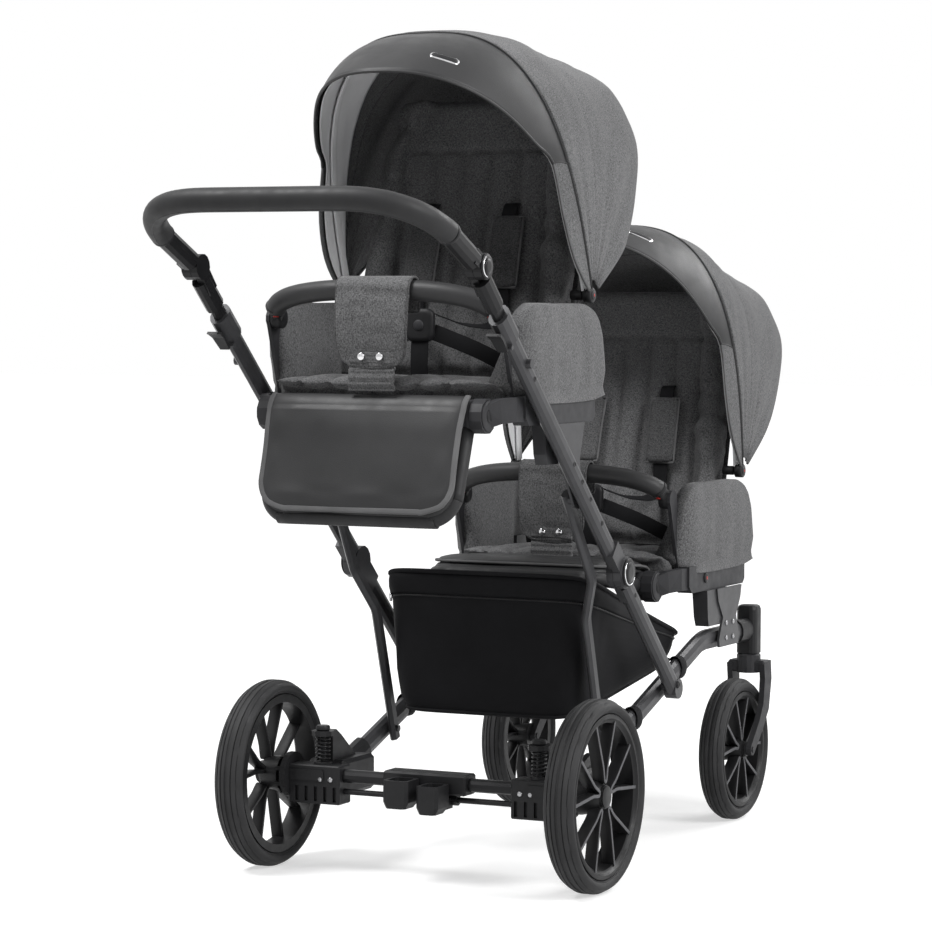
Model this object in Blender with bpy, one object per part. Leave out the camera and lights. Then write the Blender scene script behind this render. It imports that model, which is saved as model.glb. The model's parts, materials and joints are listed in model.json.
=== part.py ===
"""Tandem double stroller: a folding frame, two lift-off seats with hoods, four spoked wheels.

Units are metres and +Z is up. +Y is the direction of travel and +X is the stroller's right side.
Lengths along the ground are measured from the rear axle and moved to the origin at the end,
which lies on the ground under the middle of the whole stroller.
"""

import math

import bmesh
import bpy
from mathutils import Matrix, Vector

# Clearances
GAP = 0.0003
RUNNING_GAP = 0.0005

# Layout
ORIGIN_AHEAD_OF_AXLE = 0.282
REAR_TRACK = 0.569
FRONT_TRACK = 0.417
CASTER_PIVOT_Y = 0.860
CASTER_TRAIL = 0.070

# Wheels
REAR_TYRE_RADIUS = 0.150
REAR_TYRE_WIDTH = 0.050
FRONT_TYRE_RADIUS = 0.124
FRONT_TYRE_WIDTH = 0.044
TYRE_HEIGHT = 0.0225
RIM_DEPTH = 0.013
TREAD_FLAT = 0.018
WHEEL_FACETS = 24
SPOKE_PAIRS = 5
SPOKE_WIDTH = 0.0056
SPOKE_DEPTH = 0.020
REAR_HUB_RADIUS = 0.030
FRONT_HUB_RADIUS = 0.022
REAR_AXLE_RADIUS = 0.006
FRONT_AXLE_RADIUS = 0.005
BRAKE_NOTCHES = 8
BRAKE_RING_RADIUS = 0.033
BRAKE_NOTCH_FLOOR = 0.0215
BRAKE_RING_WIDTH = 0.008

# Rear axle, sprung on two guide bolts
CARRIER_INNER_X = 0.150
CARRIER_OUTER_X = 0.2505
CARRIER_HALF_DEPTH = 0.020
CARRIER_TOP = 0.020
CARRIER_BOTTOM = -0.042
CARRIER_FINS = 5
AXLE_TUBE_RADIUS = 0.0105
AXLE_TUBE_RISE = 0.003
LINK_ROD_RADIUS = 0.0045
LINK_ROD_DROP = 0.022
SPRING_X = 0.190
SPRING_RADIUS = 0.0105
SPRING_WIRE_RADIUS = 0.0017
SPRING_TURNS = 6
SPRING_POINTS_PER_TURN = 8
SPRING_LENGTH = 0.041
SPRING_CUP_RADIUS = 0.0145
SPRING_CUP_HEIGHT = 0.004
SPRING_CAP_HEIGHT = 0.008
GUIDE_BOLT_RADIUS = 0.004
BRAKE_PIN_RADIUS = 0.004
BRAKE_PIN_LENGTH = 0.024
BRAKE_PIN_CIRCLE = 0.027

# Frame tubes: half of an oval's width along X, and half of its height
LOW_TUBE_OVAL = (0.012, 0.0175)
LOW_TUBE_REAR = (0.2055, 0.118, 0.156)
LOW_TUBE_KNEE_Y = 0.625
LOW_TUBE_BEND = 0.16
MAIN_TUBE_X = 0.235
MAIN_TUBE_OVAL = (0.011, 0.0165)
MAIN_TUBE_WALL = 0.0022
FOLD_HINGE = (0.2045, 0.479)
LOWER_LINK_PIVOT_Y = 0.4295
MAIN_TUBE_SLOPE = math.radians(42)
MAIN_TUBE_LENGTH = 0.609
FOLD_HINGE_RADIUS = 0.026
FOLD_CAP_RADIUS = 0.0245
LINK_END_RADIUS = 0.0165
STRUT_OVAL = (0.006, 0.011)
STRUT_TOP = (0.206, 0.066, 0.603)
STRUT_UPPER_BEND = (0.2125, 0.150, 0.470)
STRUT_LOWER_BEND = (0.1885, 0.181, 0.405)
STRUT_LOW_X = 0.1875
STRUT_PIVOT_Y = 0.245

# Telescopic handle
TELESCOPE_WALL_GAP = 0.0004
TELESCOPE_OVERLAP = 0.20
TILT_JOINT_ABOVE_COLLAR = 0.104
TILT_JOINT_RISE = 0.005
TILT_JOINT_RADIUS = 0.0195
TILT_SLEEVE_LENGTH = 0.080
COLLAR_LENGTH = 0.045
COLLAR_WALL = 0.0045
LEVER_LENGTH = 0.046
LEVER_THICKNESS = 0.005
HANDLE_RISE = math.radians(25.4)
HANDLE_REACH = 0.218
HANDLE_TUBE_RADIUS = 0.011
HANDLE_CORNER = 0.105
GRIP_RADIUS = 0.018
GRIP_START = 0.110

# Front caster housings and forks
CASTER_HOUSING_SIZE = 0.038
CASTER_HOUSING_HEIGHT = 0.0855
CROWN_ABOVE_TYRE = 0.005
TUBE_IN_HOUSING = 0.0425
FERRULE_LENGTH = 0.052
CROWN_RADIUS = 0.021
CROWN_HEIGHT = 0.034
STEM_RADIUS = 0.006
STEM_LENGTH = 0.046
FORK_LEG_THICKNESS = 0.010
FORK_LEG_CLEARANCE = 0.0035
FORK_TOP_WIDTH = 0.034
FORK_TIP_WIDTH = 0.021

# Basket
BASKET_REAR_Y = 0.190
BASKET_LENGTH = 0.420
BASKET_TOP_HALF_WIDTH = 0.178
BASKET_FLOOR_HALF_WIDTH = 0.158
BASKET_TOP_REAR = 0.468
BASKET_FLOOR_REAR = 0.236
BASKET_TOP_ABOVE_TUBE = 0.008
BASKET_FLOOR_BELOW_TUBE = 0.038
BASKET_WALL = 0.004
BASKET_STRAP = (0.011, 0.0015)
BASKET_STRAP_REAR_Y = 0.330
BASKET_STRAP_FRONT_Y = 0.520

# Seats: heights are above the underside of the seat's side rails
UPPER_SEAT = (0.0, 0.7225)
LOWER_SEAT_Y = 0.665
LOWER_SEAT_ABOVE_TUBE = 0.0875
RAIL_INNER_X = 0.196
RAIL_OUTER_X = 0.222
RAIL_HEIGHT = 0.045
RAIL_REAR = -0.125
RAIL_FRONT = 0.135
SEAT_PLUG = (0.008, 0.060, 0.045)
ADAPTER_Y = (-0.052, 0.046)
ADAPTER_HEIGHT = 0.062
PLATE_THICKNESS = 0.004
POST_INNER_X = RAIL_INNER_X + GAP
POST_OUTER_X = 0.2022
POST_WIDTH = 0.028
POST_FOOT_Y = -0.105
FOOTREST_HUB = (-0.190, 0.016)
FOOTREST_HUB_RADIUS = 0.026
UPPER_FOOTREST_DROP = math.radians(70)
LOWER_FOOTREST_DROP = math.radians(-8)
LOWER_HOOD_TURNED_BACK = 14.0
FOOTREST_LENGTH = 0.165
FOOTREST_TUBE_RADIUS = 0.012
FOOTREST_TUBE_X = 0.158
APRON_THICKNESS = 0.010
APRON_INNER_RADIUS = 0.026
APRON_WRAP = math.radians(45)
RECLINE_HINGE = (0.105, 0.052)
RECLINE_BOSS_RADIUS = 0.012
BACK_ANGLE = math.radians(15.5)
BACK_LENGTH = 0.475
BACK_HALF_WIDTH = 0.183
BACK_THICKNESS = 0.042
BOLSTER_DEPTH = 0.026
CUSHION_HALF_WIDTH = 0.1955
CUSHION_REAR = -0.157
LIP_REAR = -0.217
CUSHION_FRONT = 0.056
CUSHION_TOP = 0.078
WING_INNER_X = 0.2027
WING_OUTER_X = 0.2235
WING_TOP = 0.183
BUMPER_PIVOT = (-0.150, 0.160)
BUMPER_PIVOT_RADIUS = 0.016
BUMPER_REACH = 0.047
BUMPER_RISE = 0.0445
BUMPER_ROUNDNESS = 2.6
BUMPER_RADIUS = 0.0145
FLAP_HALF_WIDTH = 0.058
FLAP_CLEARANCE = 0.0018
FLAP_DROP = 0.118
FLAP_THICKNESS = 0.004
HOOD_PIVOT = (0.124, 0.1975)
HOOD_PIVOT_RADIUS = 0.012
HOOD_HALF_WIDTH = 0.2215
HOOD_DISC_INNER_X = 0.2088
HOOD_SHELL = 0.004
HOOD_SEAM_ANGLE = 110
VISOR_REACH = (0.458, 0.431)
VISOR_ROUNDNESS = (2.35, 2.9)
VISOR_OVERHANG = ((0.0, 34), (0.155, 30), (0.31, 19), (0.5, 8), (0.6, 12.5), (0.8, 17.5), (1.0, 22.7))
CANOPY_HOOPS = ((109, 0.430, 2.9), (98, 0.412, 2.95), (88, 0.401, 3.0), (78, 0.402, 3.05), (67, 0.415, 3.2),
                (57, 0.433, 3.7), (47, 0.416, 4.2), (38, 0.350, 4.2), (30, 0.275, 4.2))

SIDES = {"left": -1, "right": 1}
AXIS_X = Vector((1, 0, 0))
AXIS_Y = Vector((0, 1, 0))
AXIS_Z = Vector((0, 0, 1))

# Sizes that follow from those above
AXLE_Z = REAR_TYRE_RADIUS
REAR_WHEEL_X = REAR_TRACK / 2
CASTER_X = FRONT_TRACK / 2
FRONT_WHEEL_Y = CASTER_PIVOT_Y - CASTER_TRAIL
TUBE_UP = Vector((0, -math.cos(MAIN_TUBE_SLOPE), math.sin(MAIN_TUBE_SLOPE)))
TUBE_BELOW = Vector((0, -math.sin(MAIN_TUBE_SLOPE), -math.cos(MAIN_TUBE_SLOPE)))
HANDLE_OUT = Vector((0, -math.cos(HANDLE_RISE), math.sin(HANDLE_RISE)))
CASTER_HOUSING_BOTTOM = 2 * FRONT_TYRE_RADIUS + CROWN_ABOVE_TYRE + CROWN_HEIGHT + RUNNING_GAP
CASTER_HOUSING_TOP = CASTER_HOUSING_BOTTOM + CASTER_HOUSING_HEIGHT
FRONT_TUBE_HEIGHT = CASTER_HOUSING_BOTTOM + TUBE_IN_HOUSING
BASKET_TOP_FRONT = FRONT_TUBE_HEIGHT + BASKET_TOP_ABOVE_TUBE
BASKET_FLOOR_FRONT = FRONT_TUBE_HEIGHT - BASKET_FLOOR_BELOW_TUBE
LOWER_SEAT = (LOWER_SEAT_Y, FRONT_TUBE_HEIGHT + LOWER_SEAT_ABOVE_TUBE)
LOW_TUBE_KNEE = (CASTER_X, LOW_TUBE_KNEE_Y, FRONT_TUBE_HEIGHT)
LOW_TUBE_SLOPE = (LOW_TUBE_KNEE[2] - LOW_TUBE_REAR[2]) / (LOW_TUBE_KNEE[1] - LOW_TUBE_REAR[1])
STRUT_PIVOT_Z = LOW_TUBE_REAR[2] + (STRUT_PIVOT_Y - LOW_TUBE_REAR[1]) * LOW_TUBE_SLOPE
SPRING_SEAT_Z = AXLE_Z + CARRIER_TOP + SPRING_CUP_HEIGHT
SPRING_CAP_Z = SPRING_SEAT_Z + GAP + SPRING_LENGTH + GAP


def low_tube_point(y):
    """The right low tube's centre at a distance ahead of the rear axle, on its rising run."""
    share = (y - LOW_TUBE_REAR[1]) / (LOW_TUBE_KNEE[1] - LOW_TUBE_REAR[1])
    return Vector(LOW_TUBE_REAR).lerp(Vector(LOW_TUBE_KNEE), share)


def along_tube(distance, side=0):
    """A point of the main tube's centre line, at a distance up it from the fold hinge."""
    return Vector((side * MAIN_TUBE_X, *FOLD_HINGE)) + TUBE_UP * distance


LINK_LENGTH = (LOWER_LINK_PIVOT_Y - FOLD_HINGE[0]) / math.cos(MAIN_TUBE_SLOPE)
LINK_PIVOT = along_tube(-LINK_LENGTH)
TILT_JOINT = along_tube(MAIN_TUBE_LENGTH + TILT_JOINT_ABOVE_COLLAR) - TUBE_BELOW * TILT_JOINT_RISE

bodies = {}
pivots = {}


# Modelling helpers

def new_object(name, mesh_builder):
    """Close a bmesh into an object with its faces pointing out."""
    bmesh.ops.remove_doubles(mesh_builder, verts=mesh_builder.verts, dist=1e-6)
    bmesh.ops.recalc_face_normals(mesh_builder, faces=mesh_builder.faces)
    bmesh.ops.triangulate(mesh_builder, faces=mesh_builder.faces)
    mesh = bpy.data.meshes.new(name)
    mesh_builder.to_mesh(mesh)
    mesh_builder.free()
    made = bpy.data.objects.new(name, mesh)
    bpy.context.collection.objects.link(made)
    return made


def loft(name, sections, closed=False):
    """Skin a row of sections of equal count, capped unless the row closes on itself."""
    shape = bmesh.new()
    rings = [[shape.verts.new(point) for point in section] for section in sections]
    pairs = list(zip(rings, rings[1:]))
    if closed:
        pairs.append((rings[-1], rings[0]))
    for first, second in pairs:
        for i in range(len(first)):
            j = (i + 1) % len(first)
            shape.faces.new((first[i], first[j], second[j], second[i]))
    if not closed:
        shape.faces.new(rings[0])
        shape.faces.new(list(reversed(rings[-1])))
    return new_object(name, shape)


def oval(half_wide, half_high, sides=12):
    """An oval outline as (across, up) pairs."""
    turns = [2 * math.pi * (i + 0.5) / sides for i in range(sides)]
    return [(half_wide * math.cos(a), half_high * math.sin(a)) for a in turns]


def rectangle(half_wide, half_high):
    """A square-cornered outline as (across, up) pairs."""
    return [(-half_wide, -half_high), (half_wide, -half_high), (half_wide, half_high), (-half_wide, half_high)]


def rounded_rectangle(half_wide, half_high, corner, steps=2):
    """A rectangle outline with round corners, as (across, up) pairs."""
    points = []
    for quarter in range(4):
        sign_a = 1 if quarter in (0, 3) else -1
        sign_b = 1 if quarter in (0, 1) else -1
        for step in range(steps + 1):
            angle = math.pi / 2 * (quarter + step / steps)
            points.append((sign_a * (half_wide - corner) + corner * math.cos(angle),
                           sign_b * (half_high - corner) + corner * math.sin(angle)))
    return points


def carried_sections(path, outline, across_hint):
    """Copies of an outline set square to a path at each of its points."""
    sections = []
    for i, point in enumerate(path):
        before = path[max(i - 1, 0)]
        after = path[min(i + 1, len(path) - 1)]
        tangent = (after - before).normalized()
        across = (across_hint - tangent * across_hint.dot(tangent)).normalized()
        up = tangent.cross(across)
        sections.append([point + across * a + up * b for a, b in outline])
    return sections


def sweep(name, path, outline, across=AXIS_X):
    """A solid bar that carries an outline along a path."""
    return loft(name, carried_sections(path, outline, across))


def pipe(name, path, outer, inner, across=AXIS_X):
    """A hollow bar, open at both ends."""
    outside = carried_sections(path, outer, across)
    inside = carried_sections(path, inner, across)
    shape = bmesh.new()
    skins = []
    for sections in (outside, inside):
        rings = [[shape.verts.new(point) for point in section] for section in sections]
        skins.append(rings)
        for first, second in zip(rings, rings[1:]):
            for i in range(len(first)):
                j = (i + 1) % len(first)
                shape.faces.new((first[i], first[j], second[j], second[i]))
    for end in (0, -1):
        wide, narrow = skins[0][end], skins[1][end]
        for i in range(len(wide)):
            j = (i + 1) % len(wide)
            shape.faces.new((wide[i], wide[j], narrow[j], narrow[i]))
    return new_object(name, shape)


def rounded_path(points, radius, steps=5):
    """A row of points whose inner corners are turned into arcs."""
    path = [Vector(points[0])]
    for before, corner, after in zip(points, points[1:], points[2:]):
        corner = Vector(corner)
        back = (Vector(before) - corner).normalized()
        ahead = (Vector(after) - corner).normalized()
        half = back.angle(ahead) / 2
        reach = radius / math.tan(half)
        centre = corner + (back + ahead).normalized() * (radius / math.sin(half))
        start = (corner + back * reach - centre).normalized()
        finish = (corner + ahead * reach - centre).normalized()
        path.extend(centre + start.slerp(finish, step / steps) * radius for step in range(steps + 1))
    path.append(Vector(points[-1]))
    return path


def revolve(name, profile, centre, axis=AXIS_X, sides=24, solid=True):
    """Turn a profile of (radius, along) points about an axis, into a solid or a closed ring.

    A facet, not a corner, faces straight down, and facets touch the true circle.
    """
    up = AXIS_Y if abs(axis.z) > 0.9 else (AXIS_Z - axis * axis.z).normalized()
    level = up.cross(axis)
    grow = 1 / math.cos(math.pi / sides)
    turns = [2 * math.pi * (i + 0.5) / sides - math.pi / 2 for i in range(sides)]
    spokes = [(level * math.cos(a) + up * math.sin(a)) * grow for a in turns]
    sections = [[Vector(centre) + axis * along + spoke * radius for spoke in spokes] for radius, along in profile]
    return loft(name, sections, not solid)


def rod(name, start, axis, length, radius, sides=14):
    """A plain round bar from a start point along an axis."""
    return revolve(name, [(radius, 0), (radius, length)], start, axis, sides)


def box(name, low, high, bevel=0.0):
    """A block between two corners, with chamfered edges."""
    shape = bmesh.new()
    bmesh.ops.create_cube(shape, size=1)
    low = Vector(low)
    high = Vector(high)
    for vertex in shape.verts:
        vertex.co = Vector(((low[k] + high[k]) / 2 + vertex.co[k] * abs(high[k] - low[k]) for k in range(3)))
    if bevel:
        bmesh.ops.bevel(shape, geom=shape.edges[:], offset=bevel, segments=1, affect="EDGES")
    return new_object(name, shape)


def side_plate(name, outline, x_low, x_high):
    """A plate cut to an outline of (y, z) points and as thick as from x_low to x_high."""
    return loft(name, [[Vector((x, y, z)) for y, z in outline] for x in (x_low, x_high)])


def band_outline(path, widths, round_steps):
    """The outline of a band in the YZ plane that follows a path, with a round far end."""
    left = []
    right = []
    for i, (y, z) in enumerate(path):
        before = path[max(i - 1, 0)]
        after = path[min(i + 1, len(path) - 1)]
        tangent = Vector((after[0] - before[0], after[1] - before[1])).normalized()
        normal = Vector((-tangent.y, tangent.x)) * widths[i] / 2
        left.append((y + normal.x, z + normal.y))
        right.append((y - normal.x, z - normal.y))
    far = Vector(path[-1])
    start = Vector(left[-1]) - far
    turn = Matrix.Rotation(-math.pi / round_steps, 2)
    arc = []
    for _ in range(round_steps - 1):
        start = turn @ start
        arc.append((far.x + start.x, far.y + start.y))
    return left + arc + right[::-1]


def combine(target, tools, operation):
    """Apply one Boolean with all of the tools at once and delete them."""
    group = bpy.data.collections.new("tools")
    for tool in tools:
        group.objects.link(tool)
    modifier = target.modifiers.new("combine", "BOOLEAN")
    modifier.operation = operation
    modifier.solver = "EXACT"
    modifier.operand_type = "COLLECTION"
    modifier.collection = group
    graph = bpy.context.evaluated_depsgraph_get()
    mesh = bpy.data.meshes.new_from_object(target.evaluated_get(graph))
    target.modifiers.clear()
    spent = target.data
    target.data = mesh
    bpy.data.meshes.remove(spent)
    for tool in tools:
        bpy.data.objects.remove(tool)
    bpy.data.collections.remove(group)


def fuse(solids, cutters=()):
    """Fuse solids into the first one and cut the cutters out of it."""
    target = solids[0]
    if len(solids) > 1:
        combine(target, solids[1:], "UNION")
    if cutters:
        combine(target, cutters, "DIFFERENCE")
    return target


def merge_flat_faces(mesh):
    """Weld stray points and join the triangles of each flat face again."""
    shape = bmesh.new()
    shape.from_mesh(mesh)
    bmesh.ops.remove_doubles(shape, verts=shape.verts, dist=2e-6)
    bmesh.ops.dissolve_degenerate(shape, edges=shape.edges, dist=2e-6)
    bmesh.ops.dissolve_limit(shape, angle_limit=math.radians(0.2), verts=shape.verts, edges=shape.edges)
    shape.to_mesh(mesh)
    shape.free()


def pair(made, mirror_name):
    """A mirrored copy of a right-hand object for the left side."""
    mesh = made.data.copy()
    mesh.transform(Matrix.Scale(-1, 4, AXIS_X))
    mesh.flip_normals()
    copy = bpy.data.objects.new(mirror_name, mesh)
    bpy.context.collection.objects.link(copy)
    return copy


# Bodies and materials

def material(name, colour, roughness, metallic=0.0):
    """A Principled material."""
    made = bpy.data.materials.new(name)
    made.use_nodes = True
    shader = made.node_tree.nodes["Principled BSDF"]
    shader.inputs["Base Color"].default_value = (*colour, 1)
    shader.inputs["Roughness"].default_value = roughness
    shader.inputs["Metallic"].default_value = metallic
    return made


def add_body(name, parent, pivot):
    """An empty on a joint's axis that carries the pieces of one moving body."""
    empty = bpy.data.objects.new("body_" + name, None)
    bpy.context.collection.objects.link(empty)
    pivot = Vector(pivot)
    if parent:
        empty.parent = bodies[parent]
        empty.location = pivot - pivots[parent]
    else:
        empty.location = pivot - AXIS_Y * ORIGIN_AHEAD_OF_AXLE
    bodies[name] = empty
    pivots[name] = pivot


def attach(made, body, finish):
    """Hand a piece to its body, with its own origin on the body's axis."""
    if made.type == "MESH":
        merge_flat_faces(made.data)
    made.data.transform(Matrix.Translation(-pivots[body]))
    made.parent = bodies[body]
    made.data.materials.clear()
    made.data.materials.append(FINISHES[finish])
    if made.type == "MESH":
        made.data.shade_smooth()
        made.data.set_sharp_from_angle(angle=math.radians(35))
    return made


def attach_pair(made, base_name, body, finish, body_per_side=False):
    """Attach a right-hand piece and its mirrored left-hand twin."""
    twin = pair(made, base_name + "_left")
    attach(twin, body + "_left" if body_per_side else body, finish)
    attach(made, body + "_right" if body_per_side else body, finish)


# Wheels

def tyre(name, centre, radius, width):
    """An air tyre: flat tread band, round shoulders, and beads that hold the rim."""
    half = width / 2
    bead = radius - TYRE_HEIGHT
    profile = [
        (bead, -half * 0.70), (bead + 0.009, -half), (radius - 0.006, -half * 0.80),
        (radius, -TREAD_FLAT / 2), (radius, TREAD_FLAT / 2), (radius - 0.006, half * 0.80),
        (bead + 0.009, half), (bead, half * 0.70),
    ]
    return revolve(name, profile, centre, AXIS_X, WHEEL_FACETS, solid=False)


def spoke_loops(radius_in, radius_out, centre, face_x):
    """U-shaped double spokes that leave the hub together and spread to the rim."""
    spread = math.pi / SPOKE_PAIRS / 2
    stations = ((radius_in, spread * 0.5), (radius_in * 1.75, spread * 0.72), (radius_out, spread))
    loops = []
    for k in range(SPOKE_PAIRS):
        middle = math.pi / 2 + 2 * math.pi * k / SPOKE_PAIRS
        angles = [(r, middle + turn) for r, turn in reversed(stations)]
        angles += [(r, middle - turn) for r, turn in stations]
        path = [Vector((face_x - SPOKE_DEPTH / 2, centre.y + r * math.cos(a), centre.z + r * math.sin(a)))
                for r, a in angles]
        loops.append(sweep("spokes", path, rectangle(SPOKE_DEPTH / 2, SPOKE_WIDTH / 2)))
    return loops


def rim(name, centre, tyre_radius, tyre_width, hub_radius, hub_in, hub_out, bore, extras=()):
    """A moulded wheel: deep rim barrel, hub and double spokes, on a plain bore."""
    outer = tyre_radius - TYRE_HEIGHT - GAP
    inner = outer - RIM_DEPTH
    half = tyre_width * 0.40
    barrel = revolve(name, [(inner, -half), (outer, -half), (outer, half), (inner + 0.003, half)],
                     centre, AXIS_X, WHEEL_FACETS, solid=False)
    cap = hub_radius * 0.57
    hub = revolve("hub", [(hub_radius, hub_in), (hub_radius * 0.8, hub_out - 0.012), (cap, hub_out - 0.006),
                          (cap, hub_out)], centre, AXIS_X, 14)
    spokes = spoke_loops(hub_radius * 0.72, (inner + outer) / 2, centre, centre.x + half - 0.005)
    return fuse([barrel, hub, *spokes, *extras], [bore])


def brake_ring(centre, start):
    """The castellated ring inside the rear hub that the brake pin drops into."""
    outline = []
    pitch = 2 * math.pi / BRAKE_NOTCHES
    for k in range(BRAKE_NOTCHES):
        for radius, turn in ((BRAKE_NOTCH_FLOOR, -0.33), (BRAKE_NOTCH_FLOOR, 0.33),
                             (BRAKE_RING_RADIUS, 0.36), (BRAKE_RING_RADIUS, 0.64)):
            angle = math.pi / 2 + (k + turn) * pitch
            outline.append((centre.y + radius * math.cos(angle), centre.z + radius * math.sin(angle)))
    return side_plate("brake_ring", outline, start, start + BRAKE_RING_WIDTH + 0.001)


def build_rear_wheels():
    centre = Vector((REAR_WHEEL_X, 0, AXLE_Z))
    ring_start = CARRIER_OUTER_X + 0.001
    hub_in = ring_start + BRAKE_RING_WIDTH - REAR_WHEEL_X
    hub_out = REAR_TYRE_WIDTH * 0.40 + 0.001
    bore_length = REAR_WHEEL_X + hub_out - 0.004 - ring_start + 0.002
    bore = rod("bore", Vector((ring_start - 0.002, 0, AXLE_Z)), AXIS_X, bore_length, REAR_AXLE_RADIUS + RUNNING_GAP, 12)
    wheel = rim("rear_rim_right", centre, REAR_TYRE_RADIUS, REAR_TYRE_WIDTH, REAR_HUB_RADIUS, hub_in, hub_out, bore,
                [brake_ring(centre, ring_start)])
    attach_pair(wheel, "rear_rim", "rear_wheel", "wheel_plastic", True)
    rubber = tyre("rear_tyre_right", centre, REAR_TYRE_RADIUS, REAR_TYRE_WIDTH)
    attach_pair(rubber, "rear_tyre", "rear_wheel", "tyre", True)


def build_front_wheels():
    centre = Vector((CASTER_X, FRONT_WHEEL_Y, FRONT_TYRE_RADIUS))
    half_hub = FRONT_TYRE_WIDTH / 2 + FORK_LEG_CLEARANCE - RUNNING_GAP
    bore = rod("bore", centre - AXIS_X * (half_hub + 0.001), AXIS_X, 2 * half_hub + 0.002,
               FRONT_AXLE_RADIUS + RUNNING_GAP, 12)
    wheel = rim("front_rim_right", centre, FRONT_TYRE_RADIUS, FRONT_TYRE_WIDTH, FRONT_HUB_RADIUS,
                -half_hub, half_hub, bore)
    attach_pair(wheel, "front_rim", "front_wheel", "wheel_plastic", True)
    rubber = tyre("front_tyre_right", centre, FRONT_TYRE_RADIUS, FRONT_TYRE_WIDTH)
    attach_pair(rubber, "front_tyre", "front_wheel", "tyre", True)


# Rear axle

def build_carriers():
    """Finned blocks that hold the wheel axle, the axle tube, the brake pin and the guide bolt."""
    axle = Vector((0, 0, AXLE_Z))
    seat = Vector((SPRING_X, 0, AXLE_Z))
    bolt_top = SPRING_CAP_Z + SPRING_CAP_HEIGHT + 0.004
    solids = [
        box("rear_carrier_right", (CARRIER_INNER_X, -CARRIER_HALF_DEPTH, AXLE_Z + CARRIER_BOTTOM),
            (CARRIER_OUTER_X - 0.008, CARRIER_HALF_DEPTH, AXLE_Z + CARRIER_TOP), 0.002),
        rod("collar", axle + AXIS_X * (CARRIER_OUTER_X - 0.010), AXIS_X, 0.010, BRAKE_RING_RADIUS + 0.003, 20),
        rod("stub_axle", axle + AXIS_X * (CARRIER_OUTER_X - 0.003), AXIS_X, REAR_WHEEL_X + 0.012 - CARRIER_OUTER_X,
            REAR_AXLE_RADIUS, 12),
        rod("spring_cup", seat, AXIS_Z, SPRING_SEAT_Z - AXLE_Z, SPRING_CUP_RADIUS, 12),
        rod("guide_bolt", seat, AXIS_Z, bolt_top - AXLE_Z, GUIDE_BOLT_RADIUS, 8),
    ]
    inner = axle + AXIS_X * (CARRIER_INNER_X - 0.001)
    outer = axle + AXIS_X * (CARRIER_OUTER_X + 0.001)
    cutters = [
        rod("tube_bore", inner + AXIS_Z * AXLE_TUBE_RISE, AXIS_X, 0.025, AXLE_TUBE_RADIUS + GAP, 12),
        rod("rod_bore", inner - AXIS_Z * LINK_ROD_DROP, AXIS_X, 0.026, LINK_ROD_RADIUS + RUNNING_GAP, 12),
        rod("pin_bore", outer - AXIS_X * (BRAKE_PIN_LENGTH + 0.002) - AXIS_Z * BRAKE_PIN_CIRCLE, AXIS_X,
            BRAKE_PIN_LENGTH + 0.002, BRAKE_PIN_RADIUS + RUNNING_GAP, 8),
    ]
    pitch = (CARRIER_OUTER_X - 0.016 - CARRIER_INNER_X) / CARRIER_FINS
    for k in range(CARRIER_FINS):
        start = CARRIER_INNER_X + 0.006 + k * pitch
        cutters.append(box("fin_gap", (start, -CARRIER_HALF_DEPTH - 0.001, AXLE_Z + CARRIER_BOTTOM + 0.004),
                           (start + pitch * 0.36, -CARRIER_HALF_DEPTH + 0.005, AXLE_Z - 0.014)))
    attach_pair(fuse(solids, cutters), "rear_carrier", "rear_axle", "black_plastic")


def build_axle():
    """The cross tube, the brake housing on it, and the brake pedal with its link rod."""
    reach = CARRIER_INNER_X + 0.023
    tube = rod("axle_tube", Vector((-reach, 0, AXLE_Z + AXLE_TUBE_RISE)), AXIS_X, 2 * reach, AXLE_TUBE_RADIUS, 12)
    attach(tube, "rear_axle", "black_metal")
    rod_z = AXLE_Z - LINK_ROD_DROP
    solids = [box("brake_housing", (-0.072, -0.021, rod_z + 0.0092), (0.072, 0.021, AXLE_Z + 0.0195), 0.003)]
    for side in (-1, 1):
        solids.append(rod("end_clamp", Vector((side * 0.061 - 0.011, 0, AXLE_Z + AXLE_TUBE_RISE)), AXIS_X, 0.022,
                          AXLE_TUBE_RADIUS + 0.0045, 12))
    bore = rod("tube_bore", Vector((-0.08, 0, AXLE_Z + AXLE_TUBE_RISE)), AXIS_X, 0.16, AXLE_TUBE_RADIUS + GAP, 12)
    attach(fuse(solids, [bore]), "rear_axle", "black_plastic")

    link_reach = CARRIER_INNER_X + 0.022
    solids = [
        rod("brake_pedal", Vector((-link_reach, 0, rod_z)), AXIS_X, 2 * link_reach, LINK_ROD_RADIUS, 12),
        rod("hub", Vector((-0.051, 0, rod_z)), AXIS_X, 0.102, 0.0086, 12),
    ]
    scoops = []
    for middle_x, half_x, drop in ((-0.026, 0.022, 0.0), (0.029, 0.019, 0.006)):
        solids.append(box("cup_root", (middle_x - half_x + 0.006, -0.034, rod_z - 0.0065 - drop),
                          (middle_x + half_x - 0.006, -0.002, rod_z + 0.0035)))
        for group, wall, low, high in ((solids, 0.0, rod_z - 0.010 - drop, rod_z + 0.034 - drop),
                                       (scoops, 0.005, rod_z - 0.003 - drop, rod_z + 0.045)):
            sections = []
            for z, taper in ((low, 0.005), (low + 0.010, 0.0), (high, 0.0)):
                outline = rounded_rectangle(half_x - wall - taper, 0.0235 - wall - taper, 0.005, 1)
                sections.append([Vector((middle_x + a, b - 0.0475 - taper, z)) for a, b in outline])
            group.append(loft("cup", sections))
    attach(fuse(solids, scoops), "brake_pedal", "black_plastic")

    pin_z = AXLE_Z - BRAKE_PIN_CIRCLE
    pin = rod("brake_pin_right", Vector((CARRIER_OUTER_X - BRAKE_PIN_LENGTH, 0, pin_z)), AXIS_X,
              BRAKE_PIN_LENGTH, BRAKE_PIN_RADIUS, 8)
    attach_pair(pin, "brake_pin", "brake_pin", "steel", True)


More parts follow.
